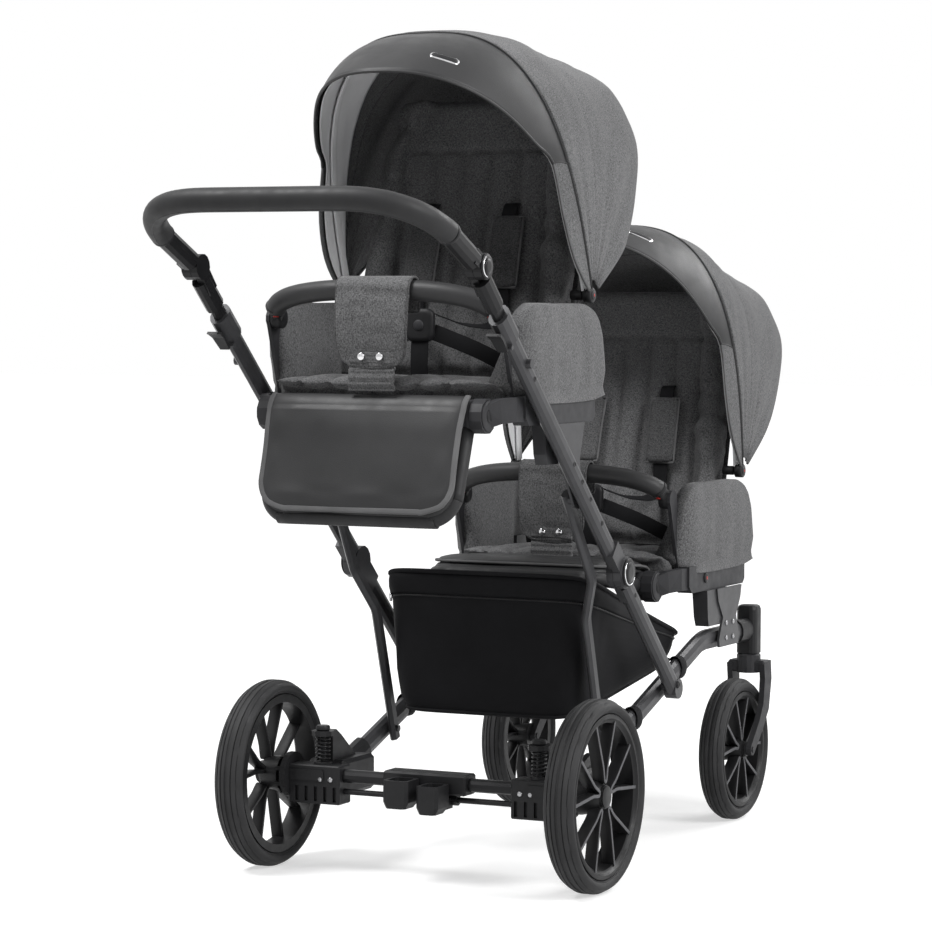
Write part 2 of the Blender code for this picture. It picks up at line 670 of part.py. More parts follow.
def build_springs():
    """Open coil springs round the guide bolts, each one unbroken tube."""
    climb = SPRING_LENGTH - 2 * SPRING_WIRE_RADIUS
    pitch = climb / SPRING_TURNS
    count = SPRING_TURNS * SPRING_POINTS_PER_TURN
    for side_name, side in SIDES.items():
        curve = bpy.data.curves.new("spring_" + side_name, "CURVE")
        curve.dimensions = "3D"
        curve.bevel_depth = SPRING_WIRE_RADIUS
        curve.bevel_resolution = 1
        curve.use_fill_caps = True
        curve.render_resolution_u = 0
        spline = curve.splines.new("POLY")
        spline.points.add(count)
        for k in range(count + 1):
            angle = 2 * math.pi * k / SPRING_POINTS_PER_TURN
            spline.points[k].co = (side * (SPRING_X + SPRING_RADIUS * math.cos(angle)),
                                   SPRING_RADIUS * math.sin(angle),
                                   SPRING_SEAT_Z + GAP + SPRING_WIRE_RADIUS + climb * k / count, 1)
        made = bpy.data.objects.new("spring_" + side_name, curve)
        bpy.context.collection.objects.link(made)
        attach(made, "rear_axle", "black_metal")
    print("spring: least gap between turns %.2f mm" % ((pitch - 2 * SPRING_WIRE_RADIUS) * 1000))


def build_rear_sockets():
    """Castings that hold the low tubes, slide on the carriers and cap the springs."""
    start = Vector(LOW_TUBE_REAR)
    run = (Vector(LOW_TUBE_KNEE) - start).normalized()
    front = CARRIER_HALF_DEPTH + RUNNING_GAP
    cap_top = SPRING_CAP_Z + SPRING_CAP_HEIGHT
    arm = [(front, AXLE_Z + 0.010), (LOW_TUBE_REAR[1] - 0.010, AXLE_Z + 0.018), (front + 0.030, SPRING_CAP_Z - 0.004),
           (front + 0.012, cap_top - 0.001), (front - 0.008, cap_top - 0.001), (front - 0.008, SPRING_CAP_Z + 0.001),
           (front, SPRING_CAP_Z - 0.003)]
    solids = [
        box("rear_socket_right", (SPRING_X - 0.028, front, AXLE_Z - 0.034),
            (SPRING_X + 0.040, LOW_TUBE_REAR[1] + 0.012, AXLE_Z + 0.024), 0.006),
        sweep("collar", [start - run * 0.010, start + run * 0.050],
              oval(LOW_TUBE_OVAL[0] + 0.0055, LOW_TUBE_OVAL[1] + 0.005, 12)),
        side_plate("arm", arm, SPRING_X - 0.007, SPRING_X + 0.007),
        rod("cap", Vector((SPRING_X, 0, SPRING_CAP_Z)), AXIS_Z, SPRING_CAP_HEIGHT, SPRING_CUP_RADIUS + 0.003, 12),
    ]
    cutters = [
        rod("bolt_bore", Vector((SPRING_X, 0, SPRING_CAP_Z - 0.002)), AXIS_Z, SPRING_CAP_HEIGHT + 0.004,
            GUIDE_BOLT_RADIUS + RUNNING_GAP, 8),
        sweep("tube_bore", [start - run * GAP, start + run * 0.060],
              oval(LOW_TUBE_OVAL[0] + RUNNING_GAP, LOW_TUBE_OVAL[1] + RUNNING_GAP, 12)),
    ]
    attach_pair(fuse(solids, cutters), "rear_socket", "chassis", "black_plastic")


# Frame

def build_low_tubes():
    start = Vector(LOW_TUBE_REAR)
    knee = Vector(LOW_TUBE_KNEE)
    end = Vector((CASTER_X, CASTER_PIVOT_Y - 0.030, FRONT_TUBE_HEIGHT))
    tube = sweep("low_tube_right", rounded_path([start, knee, end], LOW_TUBE_BEND, 6), oval(*LOW_TUBE_OVAL, 12))
    attach_pair(tube, "low_tube", "chassis", "grey_metal")


def build_caster_housings():
    """Rounded swivel housings with the ferrules that take the low tubes."""
    outline = rounded_rectangle(CASTER_HOUSING_SIZE / 2, CASTER_HOUSING_SIZE / 2, 0.011, 3)
    heights = ((CASTER_HOUSING_BOTTOM, 1.0), (CASTER_HOUSING_TOP - 0.008, 1.0), (CASTER_HOUSING_TOP - 0.002, 0.90),
               (CASTER_HOUSING_TOP, 0.74))
    sections = [[Vector((CASTER_X + a * s, CASTER_PIVOT_Y + b * s, z)) for a, b in outline] for z, s in heights]
    ferrule_start = CASTER_PIVOT_Y - 0.014 - FERRULE_LENGTH
    ferrule = [Vector((CASTER_X, y, FRONT_TUBE_HEIGHT)) for y in (ferrule_start, CASTER_PIVOT_Y)]
    bore = [Vector((CASTER_X, y, FRONT_TUBE_HEIGHT)) for y in (ferrule_start - 0.01, CASTER_PIVOT_Y - 0.030 + GAP)]
    solids = [
        loft("caster_housing_right", sections),
        sweep("ferrule", ferrule, oval(LOW_TUBE_OVAL[0] + 0.0035, LOW_TUBE_OVAL[1] + 0.0035, 12)),
    ]
    cutters = [
        sweep("tube_bore", bore, oval(LOW_TUBE_OVAL[0] + RUNNING_GAP, LOW_TUBE_OVAL[1] + RUNNING_GAP, 12)),
        rod("stem_bore", Vector((CASTER_X, CASTER_PIVOT_Y, CASTER_HOUSING_BOTTOM - 0.005)), AXIS_Z,
            STEM_LENGTH + 0.006, STEM_RADIUS + RUNNING_GAP, 10),
    ]
    attach_pair(fuse(solids, cutters), "caster_housing", "chassis", "black_plastic")


def build_forks():
    """Caster forks: crown and stem, two curved legs, and the front wheel's axle."""
    top = CASTER_HOUSING_BOTTOM - RUNNING_GAP
    pivot = Vector((CASTER_X, CASTER_PIVOT_Y, top))
    leg_in = FRONT_TYRE_WIDTH / 2 + FORK_LEG_CLEARANCE
    leg_out = leg_in + FORK_LEG_THICKNESS
    solids = [
        revolve("caster_fork_right", [(CROWN_RADIUS, -CROWN_HEIGHT), (CROWN_RADIUS, -0.003),
                                      (CROWN_RADIUS - 0.003, 0)], pivot, AXIS_Z, 16),
        rod("stem", pivot - AXIS_Z * 0.004, AXIS_Z, STEM_LENGTH, STEM_RADIUS, 10),
        box("bridge", (CASTER_X - leg_out + 0.001, CASTER_PIVOT_Y - 0.014, top - CROWN_HEIGHT + 0.001),
            (CASTER_X + leg_out - 0.001, CASTER_PIVOT_Y + 0.018, top - 0.012), 0.003),
    ]
    path = [(CASTER_PIVOT_Y + 0.001, top - 0.015), (CASTER_PIVOT_Y + 0.005, top - 0.045),
            (CASTER_PIVOT_Y - 0.004, FRONT_TYRE_RADIUS + 0.070), (CASTER_PIVOT_Y - 0.030, FRONT_TYRE_RADIUS + 0.038),
            (FRONT_WHEEL_Y, FRONT_TYRE_RADIUS)]
    widths = [FORK_TOP_WIDTH, FORK_TOP_WIDTH, FORK_TOP_WIDTH * 0.88, FORK_TIP_WIDTH * 1.15, FORK_TIP_WIDTH]
    outline = band_outline(path, widths, 5)
    axle_at = Vector((CASTER_X, FRONT_WHEEL_Y, FRONT_TYRE_RADIUS))
    for side in (-1, 1):
        low, high = sorted((CASTER_X + side * leg_in, CASTER_X + side * leg_out))
        solids.append(side_plate("leg", outline, low, high))
    axle_half = leg_out + 0.002
    axle = rod("axle", axle_at - AXIS_X * axle_half, AXIS_X, 2 * axle_half, FRONT_AXLE_RADIUS, 10)
    attach_pair(fuse([*solids, axle]), "caster_fork", "caster", "grey_plastic", True)


def hinge_half(distance_start, distance_end, joint, x_low, x_high, radius, run, label):
    """Half of a lapped hinge: a disc on the joint's axis and the ear that ties it to its tube."""
    middle = (x_low + x_high) / 2
    half = (x_high - x_low) / 2
    at = Vector((0, joint.y, joint.z))
    ear = [at + run * d + AXIS_X * middle for d in (distance_start, distance_end)]
    return [
        sweep(label + "_ear", ear, rectangle(half - 0.0002, radius * 0.62)),
        rod(label + "_disc", at + AXIS_X * x_low, AXIS_X, 2 * half, radius),
    ]


def build_fold_links():
    """The lower lengths of the main tubes, from the low tubes up to the fold hinges."""
    half = MAIN_TUBE_OVAL[0]
    inner = MAIN_TUBE_X - half
    path = [along_tube(-LINK_LENGTH - 0.012, 1), along_tube(-FOLD_HINGE_RADIUS - 0.002, 1)]
    boss_start = LOW_TUBE_KNEE[0] + LOW_TUBE_OVAL[0] + RUNNING_GAP
    solids = [
        sweep("main_tube_lower_right", path, oval(*MAIN_TUBE_OVAL, 12)),
        rod("end", LINK_PIVOT - TUBE_UP * 0.012 + AXIS_X * (inner + 0.0005), AXIS_X, 2 * half - 0.001,
            LINK_END_RADIUS, 16),
        *hinge_half(-0.060, -0.006, along_tube(0), inner, MAIN_TUBE_X - GAP, FOLD_HINGE_RADIUS, TUBE_UP, "fold"),
        rod("boss", LINK_PIVOT + AXIS_X * boss_start, AXIS_X, inner + 0.003 - boss_start, 0.011, 10),
        rod("bolt_head", LINK_PIVOT + AXIS_X * (MAIN_TUBE_X + half - 0.002), AXIS_X, 0.0045, 0.006, 8),
    ]
    attach_pair(fuse(solids), "main_tube_lower", "fold_link", "grey_metal")


def build_main_tubes():
    """The upper lengths of the main tubes: fold hinge cap, clamp collar and the bore of the telescope."""
    half, high = MAIN_TUBE_OVAL
    outer = MAIN_TUBE_X + half + 0.002
    cap = [(FOLD_CAP_RADIUS, -0.001), (FOLD_CAP_RADIUS - 0.001, 0.0025), (FOLD_CAP_RADIUS - 0.005, 0.004)]
    lever_pin = lever_hinge(0) + AXIS_X * (MAIN_TUBE_X - half - 0.002)
    collar = [along_tube(MAIN_TUBE_LENGTH - COLLAR_LENGTH, 1), along_tube(MAIN_TUBE_LENGTH + 0.004, 1)]
    solids = [
        sweep("main_tube_upper_right", [along_tube(FOLD_HINGE_RADIUS + 0.002, 1), along_tube(MAIN_TUBE_LENGTH, 1)],
              oval(half, high, 12)),
        *hinge_half(0.006, 0.060, along_tube(0), MAIN_TUBE_X + GAP, outer, FOLD_HINGE_RADIUS, TUBE_UP, "fold"),
        revolve("hinge_cap", cap, along_tube(0) + AXIS_X * outer, AXIS_X, 16),
        sweep("collar", collar, oval(half + COLLAR_WALL, high + COLLAR_WALL, 12)),
        rod("lever_pin", lever_pin, AXIS_X, 2 * half + 0.004, 0.0035, 8),
        rod("stud", along_tube(0.505) + AXIS_X * (MAIN_TUBE_X + half - 0.002), AXIS_X, 0.009, 0.007, 10),
    ]
    bore = [along_tube(MAIN_TUBE_LENGTH - TELESCOPE_OVERLAP - 0.03, 1), along_tube(MAIN_TUBE_LENGTH + 0.02, 1)]
    cutter = sweep("bore", bore, oval(half - MAIN_TUBE_WALL, high - MAIN_TUBE_WALL, 12))
    attach_pair(fuse(solids, [cutter]), "main_tube_upper", "fold_frame", "grey_metal")


def lever_hinge(side):
    """The hinge of a clamp lever, under the collar's lower end."""
    return along_tube(MAIN_TUBE_LENGTH - LEVER_LENGTH + 0.002, side) + TUBE_BELOW * (MAIN_TUBE_OVAL[1] + COLLAR_WALL)


def build_levers():
    """Clamp levers under the collars."""
    sections = []
    for share, lift, wide in ((0.0, 0.0, 0.008), (0.6, 0.0005, 0.010), (0.85, 0.004, 0.011), (1.0, 0.009, 0.009)):
        middle = lever_hinge(1) + TUBE_UP * (share * LEVER_LENGTH) + TUBE_BELOW * (0.0045 + lift)
        sections.append([middle + AXIS_X * a + TUBE_BELOW * b for a, b in
                         ((-wide, 0), (wide, 0), (wide, LEVER_THICKNESS), (-wide, LEVER_THICKNESS))])
    attach_pair(loft("telescope_lever_right", sections), "telescope_lever", "lever", "black_plastic", True)


def build_telescope():
    """Inner tubes with the lower halves of the tilt joints."""
    half = MAIN_TUBE_OVAL[0] - MAIN_TUBE_WALL - TELESCOPE_WALL_GAP
    high = MAIN_TUBE_OVAL[1] - MAIN_TUBE_WALL - TELESCOPE_WALL_GAP
    top = MAIN_TUBE_LENGTH + TILT_JOINT_ABOVE_COLLAR
    path = [along_tube(MAIN_TUBE_LENGTH - TELESCOPE_OVERLAP, 1), along_tube(top - TILT_JOINT_RADIUS - 0.004, 1)]
    sleeve = [along_tube(top - TILT_SLEEVE_LENGTH, 1), along_tube(top - TILT_JOINT_RADIUS - 0.002, 1)]
    ear_root = along_tube(top - TILT_SLEEVE_LENGTH * 0.6)
    ear_run = TILT_JOINT - ear_root
    solids = [
        sweep("handle_inner_tube_right", path, oval(half, high, 12)),
        sweep("sleeve", sleeve, oval(MAIN_TUBE_OVAL[0] + 0.0025, MAIN_TUBE_OVAL[1] + 0.001, 12)),
        *hinge_half(-ear_run.length, -0.004, TILT_JOINT, MAIN_TUBE_X - 0.0125, MAIN_TUBE_X - GAP, TILT_JOINT_RADIUS,
                    ear_run.normalized(), "tilt"),
    ]
    attach_pair(fuse(solids), "handle_inner_tube", "handle_slide", "black_metal")


def handle_path(start):
    """The handle's centre line, from one arm round to the other."""
    left = TILT_JOINT + HANDLE_OUT * start - AXIS_X * MAIN_TUBE_X
    left_corner = TILT_JOINT + HANDLE_OUT * HANDLE_REACH - AXIS_X * MAIN_TUBE_X
    right_corner = left_corner + AXIS_X * 2 * MAIN_TUBE_X
    right = left + AXIS_X * 2 * MAIN_TUBE_X
    return rounded_path([left, left_corner, right_corner, right], HANDLE_CORNER, 4)


def build_handle():
    """The bent handle tube with the upper halves of the tilt joints, and its padded grip."""
    across = HANDLE_OUT.cross(AXIS_X)
    solids = [sweep("handle_tube", handle_path(TILT_JOINT_RADIUS + 0.003),
                    oval(HANDLE_TUBE_RADIUS, HANDLE_TUBE_RADIUS, 10), across)]
    outer = MAIN_TUBE_X + 0.0135
    for side in (-1, 1):
        low, high = sorted((side * (MAIN_TUBE_X + GAP), side * outer))
        sleeve = [TILT_JOINT + HANDLE_OUT * d + AXIS_X * side * MAIN_TUBE_X
                  for d in (TILT_JOINT_RADIUS + 0.0025, GRIP_START - GAP)]
        solids.append(sweep("sleeve", sleeve, oval(0.0155, 0.0165, 12)))
        solids.extend(hinge_half(0.004, 0.034, TILT_JOINT, low, high, TILT_JOINT_RADIUS, HANDLE_OUT, "tilt"))
        button_x = outer - 0.001 if side > 0 else -outer - 0.002
        solids.append(rod("button", TILT_JOINT + AXIS_X * button_x, AXIS_X, 0.003, 0.012, 12))
    attach(fuse(solids), "handle", "black_metal")
    grip = pipe("handle_grip", handle_path(GRIP_START), oval(GRIP_RADIUS, GRIP_RADIUS, 10),
                oval(HANDLE_TUBE_RADIUS + RUNNING_GAP, HANDLE_TUBE_RADIUS + RUNNING_GAP, 10), across)
    attach(grip, "handle", "leatherette")


def build_struts():
    """Flat bent struts from the low tubes up to the seat brackets."""
    top = Vector(STRUT_TOP)
    foot = Vector((STRUT_LOW_X, STRUT_PIVOT_Y, STRUT_PIVOT_Z))
    points = [top, Vector(STRUT_UPPER_BEND), Vector(STRUT_LOWER_BEND), foot]
    run_top = (top - points[1]).normalized()
    run_foot = (foot - points[2]).normalized()
    points[0] = top + run_top * 0.010
    points[-1] = foot + run_foot * 0.018
    plate_face = MAIN_TUBE_X - MAIN_TUBE_OVAL[0] - GAP - PLATE_THICKNESS
    boss_start = STRUT_TOP[0] + STRUT_OVAL[0] - 0.002
    foot_start = STRUT_LOW_X + STRUT_OVAL[0] - 0.002
    run_share = (STRUT_PIVOT_Y - LOW_TUBE_REAR[1]) / (LOW_TUBE_KNEE[1] - LOW_TUBE_REAR[1])
    tube_face = LOW_TUBE_REAR[0] + (LOW_TUBE_KNEE[0] - LOW_TUBE_REAR[0]) * run_share - LOW_TUBE_OVAL[0]
    solids = [
        sweep("strut_right", rounded_path(points, 0.05, 3), rounded_rectangle(*STRUT_OVAL, 0.0045, 1)),
        rod("top_boss", Vector((boss_start, top.y, top.z)), AXIS_X, plate_face - GAP - boss_start, 0.009, 10),
        rod("foot_boss", Vector((foot_start, foot.y, foot.z)), AXIS_X, tube_face - RUNNING_GAP - foot_start, 0.007, 10),
        rod("foot_bolt", Vector((STRUT_LOW_X - STRUT_OVAL[0] - 0.004, foot.y, foot.z)), AXIS_X, 0.006, 0.005, 8),
    ]
    attach_pair(fuse(solids), "strut", "struts", "grey_metal")


# Seat brackets and basket

def build_bracket(name, seat, plate_outline, plate_x, body, pads=()):
    """A bracket plate with the black socket that takes a seat's plug, and pads that meet a tube."""
    y, z = seat
    top = z - GAP
    low_y, high_y = (y + value for value in ADAPTER_Y)
    draw = 0.008
    inner_x = RAIL_INNER_X + 0.002
    sections = []
    for level, share in ((top, 0.0), (top - ADAPTER_HEIGHT * 0.75, 0.5), (top - ADAPTER_HEIGHT, 1.0)):
        near_x = inner_x + draw * share * 0.4
        sections.append([Vector((near_x, low_y + draw * share, level)),
                         Vector((plate_x + 0.001, low_y + draw * share, level)),
                         Vector((plate_x + 0.001, high_y - draw * share, level)),
                         Vector((near_x, high_y - draw * share, level))])
    plug_x, plug_y, plug_z = SEAT_PLUG
    middle_x = (RAIL_INNER_X + RAIL_OUTER_X) / 2
    middle_y = y + sum(ADAPTER_Y) / 2
    solids = [
        side_plate(name + "_right", plate_outline, plate_x, plate_x + PLATE_THICKNESS),
        loft("socket", sections),
        *pads,
    ]
    slot = box("slot", (middle_x - plug_x / 2 - GAP, middle_y - plug_y / 2 - GAP, top - plug_z - 0.002),
               (middle_x + plug_x / 2 + GAP, middle_y + plug_y / 2 + GAP, top + 0.001))
    attach_pair(fuse(solids, [slot]), name, body, "grey_metal")


def build_brackets():
    y, z = UPPER_SEAT
    top = z - GAP
    strut_y, strut_z = STRUT_TOP[1:]
    upper = [(y - 0.058, top), (y + 0.092, top), (y + 0.074, top - 0.055), (strut_y + 0.016, strut_z - 0.006),
             (strut_y + 0.004, strut_z - 0.016), (strut_y - 0.012, strut_z - 0.012), (y + 0.012, top - 0.070)]
    plate_x = MAIN_TUBE_X - MAIN_TUBE_OVAL[0] - GAP - PLATE_THICKNESS
    build_bracket("upper_bracket", UPPER_SEAT, upper, plate_x, "fold_frame")
    y, z = LOWER_SEAT
    top = z - GAP
    foot = FRONT_TUBE_HEIGHT - LOW_TUBE_OVAL[1] + 0.003
    waist = (top + foot) / 2
    lower = [(y - 0.012, top), (y + 0.104, top), (y + 0.098, top - 0.022), (y + 0.078, waist),
             (y + 0.092, foot + 0.014), (y + 0.090, foot), (y + 0.000, foot), (y - 0.002, foot + 0.014),
             (y + 0.016, waist), (y - 0.006, top - 0.022)]
    tube_face = CASTER_X + LOW_TUBE_OVAL[0]
    plate_x = tube_face + 0.004 + GAP
    pad = box("pad", (tube_face + GAP, y + 0.022, FRONT_TUBE_HEIGHT - 0.007),
              (plate_x + 0.001, y + 0.068, FRONT_TUBE_HEIGHT + 0.007))
    build_bracket("lower_bracket", LOWER_SEAT, lower, plate_x, "chassis", [pad])


def basket_ring(half_width, rear, front, z_rear, z_front, corner=0.035):
    """A level ring of the basket whose height slopes from rear to front."""
    half_length = (front - rear) / 2
    middle = (front + rear) / 2
    ring = []
    for a, b in rounded_rectangle(half_width, half_length, corner, 2):
        share = (b + half_length) / (2 * half_length)
        ring.append(Vector((a, middle + b, z_rear + (z_front - z_rear) * share)))
    return ring


def build_basket():
    """An open fabric basket that hangs between the struts and the low tubes."""
    front = BASKET_REAR_Y + BASKET_LENGTH
    sag = 0.006
    levels = []
    for share in (0.0, 0.12, 0.5, 0.88, 1.0):
        half = BASKET_FLOOR_HALF_WIDTH + (BASKET_TOP_HALF_WIDTH - BASKET_FLOOR_HALF_WIDTH) * share
        draw = 0.010 if share == 0.0 else 0.0
        bulge = sag * math.sin(math.pi * share) * 0.5
        z_rear = BASKET_FLOOR_REAR + (BASKET_TOP_REAR - BASKET_FLOOR_REAR) * share
        z_front = BASKET_FLOOR_FRONT + (BASKET_TOP_FRONT - BASKET_FLOOR_FRONT) * share
        levels.append((half - draw + bulge, BASKET_REAR_Y + draw, front - draw, z_rear, z_front))
    rings = [basket_ring(*level) for level in levels]
    for half, rear, ahead, z_rear, z_front in reversed(levels):
        lift = BASKET_WALL if (half, rear) == levels[0][:2] else 0.0
        rings.append(basket_ring(half - BASKET_WALL, rear + BASKET_WALL, ahead - BASKET_WALL, z_rear + lift,
                                 z_front + lift, 0.031))
    solids = [loft("basket", rings)]
    for y in (BASKET_STRAP_REAR_Y, BASKET_STRAP_FRONT_Y):
        tube = low_tube_point(y)
        share = (y - BASKET_REAR_Y) / BASKET_LENGTH
        sewn_z = BASKET_FLOOR_REAR + (BASKET_FLOOR_FRONT - BASKET_FLOOR_REAR) * share + 0.012
        for side in (-1, 1):
            strap = [Vector((side * (BASKET_FLOOR_HALF_WIDTH - 0.003), y, sewn_z)),
                     Vector((side * (tube.x - LOW_TUBE_OVAL[0] - 2 * GAP), y, tube.z + 0.006))]
            solids.append(sweep("strap", strap, rectangle(*BASKET_STRAP), AXIS_Y))
    attach(fuse(solids), "chassis", "nylon")


# Seats

def seat_point(seat, x, y, z):
    """A point given from a seat's own reference, in the stroller's frame."""
    return Vector((x, seat[0] + y, seat[1] + z))


def side_box(label, seat, side, low, high):
    """A block given for the right-hand side of a seat, placed on either side."""
    x_low, x_high = sorted((side * low[0], side * high[0]))
    return box(label, seat_point(seat, x_low, low[1], low[2]), seat_point(seat, x_high, high[1], high[2]))


def side_rod(label, seat, side, x_low, x_high, pivot, radius, sides=12):
    """A disc or pin across X on a seat's pivot, placed on either side."""
    start = min(side * x_low, side * x_high)
    return rod(label, seat_point(seat, start, *pivot), AXIS_X, x_high - x_low, radius, sides)


def build_seat_frame(seat, name):
    """Side rails with arms to the footrest hubs, bumper posts, recline ears, plugs and the seat pan."""
    solids = [box(name + "_seat_frame", seat_point(seat, -RAIL_INNER_X - 0.004, RAIL_REAR + 0.010, 0.006),
                  seat_point(seat, RAIL_INNER_X + 0.004, 0.080, 0.014))]
    plug_x, plug_y, plug_z = SEAT_PLUG
    plug_low = (RAIL_INNER_X + RAIL_OUTER_X - plug_x) / 2
    plug_start = (sum(ADAPTER_Y) - plug_y) / 2
    rail = [(RAIL_REAR, 0.012), (RAIL_REAR + 0.012, 0), (RAIL_FRONT - 0.008, 0), (RAIL_FRONT, 0.008),
            (RAIL_FRONT, RAIL_HEIGHT), (RAIL_REAR, RAIL_HEIGHT)]
    outline = [(seat[0] + y, seat[1] + z) for y, z in rail]
    hub_low = FOOTREST_TUBE_X + FOOTREST_TUBE_RADIUS + GAP
    hub_high = RAIL_INNER_X - 0.006
    half_post = POST_WIDTH / 2
    post = [(seat[0] + y, seat[1] + z) for y, z in (
        (BUMPER_PIVOT[0] - half_post, BUMPER_PIVOT[1] - 0.006), (POST_FOOT_Y - half_post, 0.020),
        (POST_FOOT_Y + half_post, 0.020), (BUMPER_PIVOT[0] + half_post, BUMPER_PIVOT[1] + 0.006))]
    hinge_y = RECLINE_HINGE[0]
    for side in (-1, 1):
        low, high = sorted((side * RAIL_INNER_X, side * RAIL_OUTER_X))
        arm = [seat_point(seat, side * x, y, z) for x, y, z in (
            (RAIL_OUTER_X - 0.010, RAIL_REAR + 0.015, 0.024), (RAIL_OUTER_X - 0.011, RAIL_REAR - 0.022, 0.025),
            (RAIL_OUTER_X - 0.022, FOOTREST_HUB[0] + 0.016, 0.023), (hub_high - 0.006, *FOOTREST_HUB))]
        solids.extend([
            side_plate("rail", outline, low, high),
            sweep("arm", arm, rectangle(0.0065, 0.0185)),
            side_rod("hub", seat, side, hub_low, hub_high, FOOTREST_HUB, FOOTREST_HUB_RADIUS),
            side_plate("post", post, *sorted((side * POST_INNER_X, side * POST_OUTER_X))),
            side_rod("post_disc", seat, side, POST_INNER_X, POST_OUTER_X, BUMPER_PIVOT, BUMPER_PIVOT_RADIUS),
            side_box("recline_ear", seat, side, (POST_INNER_X, hinge_y - 0.020, 0.020),
                     (POST_OUTER_X, hinge_y + 0.020, RECLINE_HINGE[1] + 0.020)),
            side_box("plug", seat, side, (plug_low, plug_start, -plug_z),
                     (plug_low + plug_x, plug_start + plug_y, 0.004)),
        ])
    attach(fuse(solids), name + "_seat", "grey_plastic")


def build_liner(seat, name):
    """The padded seat liner: a crowned cushion with its side wings."""
    sections = []
    lip_bottom = FOOTREST_HUB[1] + APRON_INNER_RADIUS + APRON_THICKNESS + 0.005
    bottom = 0.0145
    for y, low, fall, narrow in (
            (LIP_REAR, lip_bottom + 0.001, 0.010, 0.012), (LIP_REAR + 0.010, lip_bottom, 0.005, 0.003),
            (CUSHION_REAR - 0.004, lip_bottom, 0.002, 0.0), (CUSHION_REAR, bottom + 0.001, 0.002, 0.0),
            (CUSHION_REAR + 0.050, bottom, 0.0, 0.0), (-0.040, bottom, 0.0, 0.0),
            (CUSHION_FRONT - 0.012, bottom, 0.004, 0.0), (CUSHION_FRONT, bottom, 0.014, 0.010)):
        half = CUSHION_HALF_WIDTH - narrow
        top = CUSHION_TOP - fall
        edge = top - 0.010
        section = [(-half, low), (half, low), (half, max(edge, low + 0.002)), (half * 0.9, top - 0.002),
                   (half * 0.6, top), (half * 0.5, top - 0.004), (0, top + 0.002), (-half * 0.5, top - 0.004),
                   (-half * 0.6, top), (-half * 0.9, top - 0.002), (-half, max(edge, low + 0.002))]
        sections.append([seat_point(seat, a, y, b) for a, b in section])
    solids = [loft(name + "_seat_liner", sections)]
    base = RAIL_HEIGHT + GAP
    front = BUMPER_PIVOT[0]
    wing = [(front + 0.045, base), (front + 0.038, base + 0.050), (front + 0.032, base + 0.098),
            (front + 0.045, WING_TOP - 0.012), (front + 0.065, WING_TOP), (0.088, WING_TOP),
            (0.130, WING_TOP - 0.024), (0.158, WING_TOP - 0.060), (0.165, base)]
    outline = [(seat[0] + y, seat[1] + z) for y, z in wing]
    for side in (-1, 1):
        low, high = sorted((side * WING_INNER_X, side * WING_OUTER_X))
        solids.append(side_plate("wing", outline, low, high))
        solids.append(side_box("wing_root", seat, side, (CUSHION_HALF_WIDTH - 0.010, POST_FOOT_Y + 0.020, base + 0.0005),
                               (WING_INNER_X + 0.002, RECLINE_HINGE[0] - 0.024, base + 0.018)))
    attach(fuse(solids), name + "_seat", "fabric")


def back_frame(seat):
    """The backrest's reference: its foot, its up direction and its forward normal."""
    up = Vector((0, math.sin(BACK_ANGLE), math.cos(BACK_ANGLE)))
    out = Vector((0, -math.cos(BACK_ANGLE), math.sin(BACK_ANGLE)))
    foot = seat_point(seat, 0, RECLINE_HINGE[0], RECLINE_HINGE[1] + 0.006)
    return foot, up, out


def build_backrest(seat, name):
    """The padded backrest with side bolsters, recline bosses and hood pivots."""
    foot, up, out = back_frame(seat)
    sections = []
    for share, width, depth in ((0.0, 0.93, 0.80), (0.03, 0.985, 1.0), (0.35, 1.0, 1.0), (0.7, 0.97, 1.0),
                                (0.90, 0.90, 0.95), (0.97, 0.80, 0.85), (1.0, 0.66, 0.60)):
        half = BACK_HALF_WIDTH * width
        rear = -BACK_THICKNESS * 0.45
        front = BACK_THICKNESS * 0.55 * depth
        bolster = front + BOLSTER_DEPTH * depth
        section = [(-half, rear * 0.6), (-half * 0.9, rear), (half * 0.9, rear), (half, rear * 0.6),
                   (half, bolster - 0.010), (half * 0.93, bolster), (half * 0.78, bolster - 0.004),
                   (half * 0.64, front), (half * 0.3, front + 0.003), (-half * 0.3, front + 0.003),
                   (-half * 0.64, front), (-half * 0.78, bolster - 0.004), (-half * 0.93, bolster),
                   (-half, bolster - 0.010)]
        centre = foot + up * (BACK_LENGTH * share)
        sections.append([centre + AXIS_X * a + out * b for a, b in section])
    solids = [loft(name + "_backrest", sections)]
    inside = BACK_HALF_WIDTH - 0.022
    for side in (-1, 1):
        solids.append(side_rod("recline_boss", seat, side, inside, RAIL_INNER_X - GAP, RECLINE_HINGE,
                               RECLINE_BOSS_RADIUS, 12))
        solids.append(side_rod("hood_pivot", seat, side, inside, HOOD_DISC_INNER_X - GAP, HOOD_PIVOT,
                               HOOD_PIVOT_RADIUS, 12))
    attach(fuse(solids), name + "_back", "fabric")


def visor_overhang(rise):
    """How far the visor's free edge stands ahead of its seam, in degrees, at a share of the hoop's rise."""
    for (low, start), (high, end) in zip(VISOR_OVERHANG, VISOR_OVERHANG[1:]):
        if rise <= high:
            return start + (end - start) * (rise - low) / (high - low)
    return VISOR_OVERHANG[-1][1]


def arch(roundness, foot_share, count=12):
    """A boxy arch as (across, rise) shares of its half width and height, from one foot to the other."""
    power = 2 / roundness
    first = math.asin(min(1.0, foot_share ** (1 / power)))
    points = []
    for k in range(count + 1):
        t = first + (math.pi - 2 * first) * k / count
        points.append((math.copysign(abs(math.cos(t)) ** power, math.cos(t)), math.sin(t) ** power))
    return points


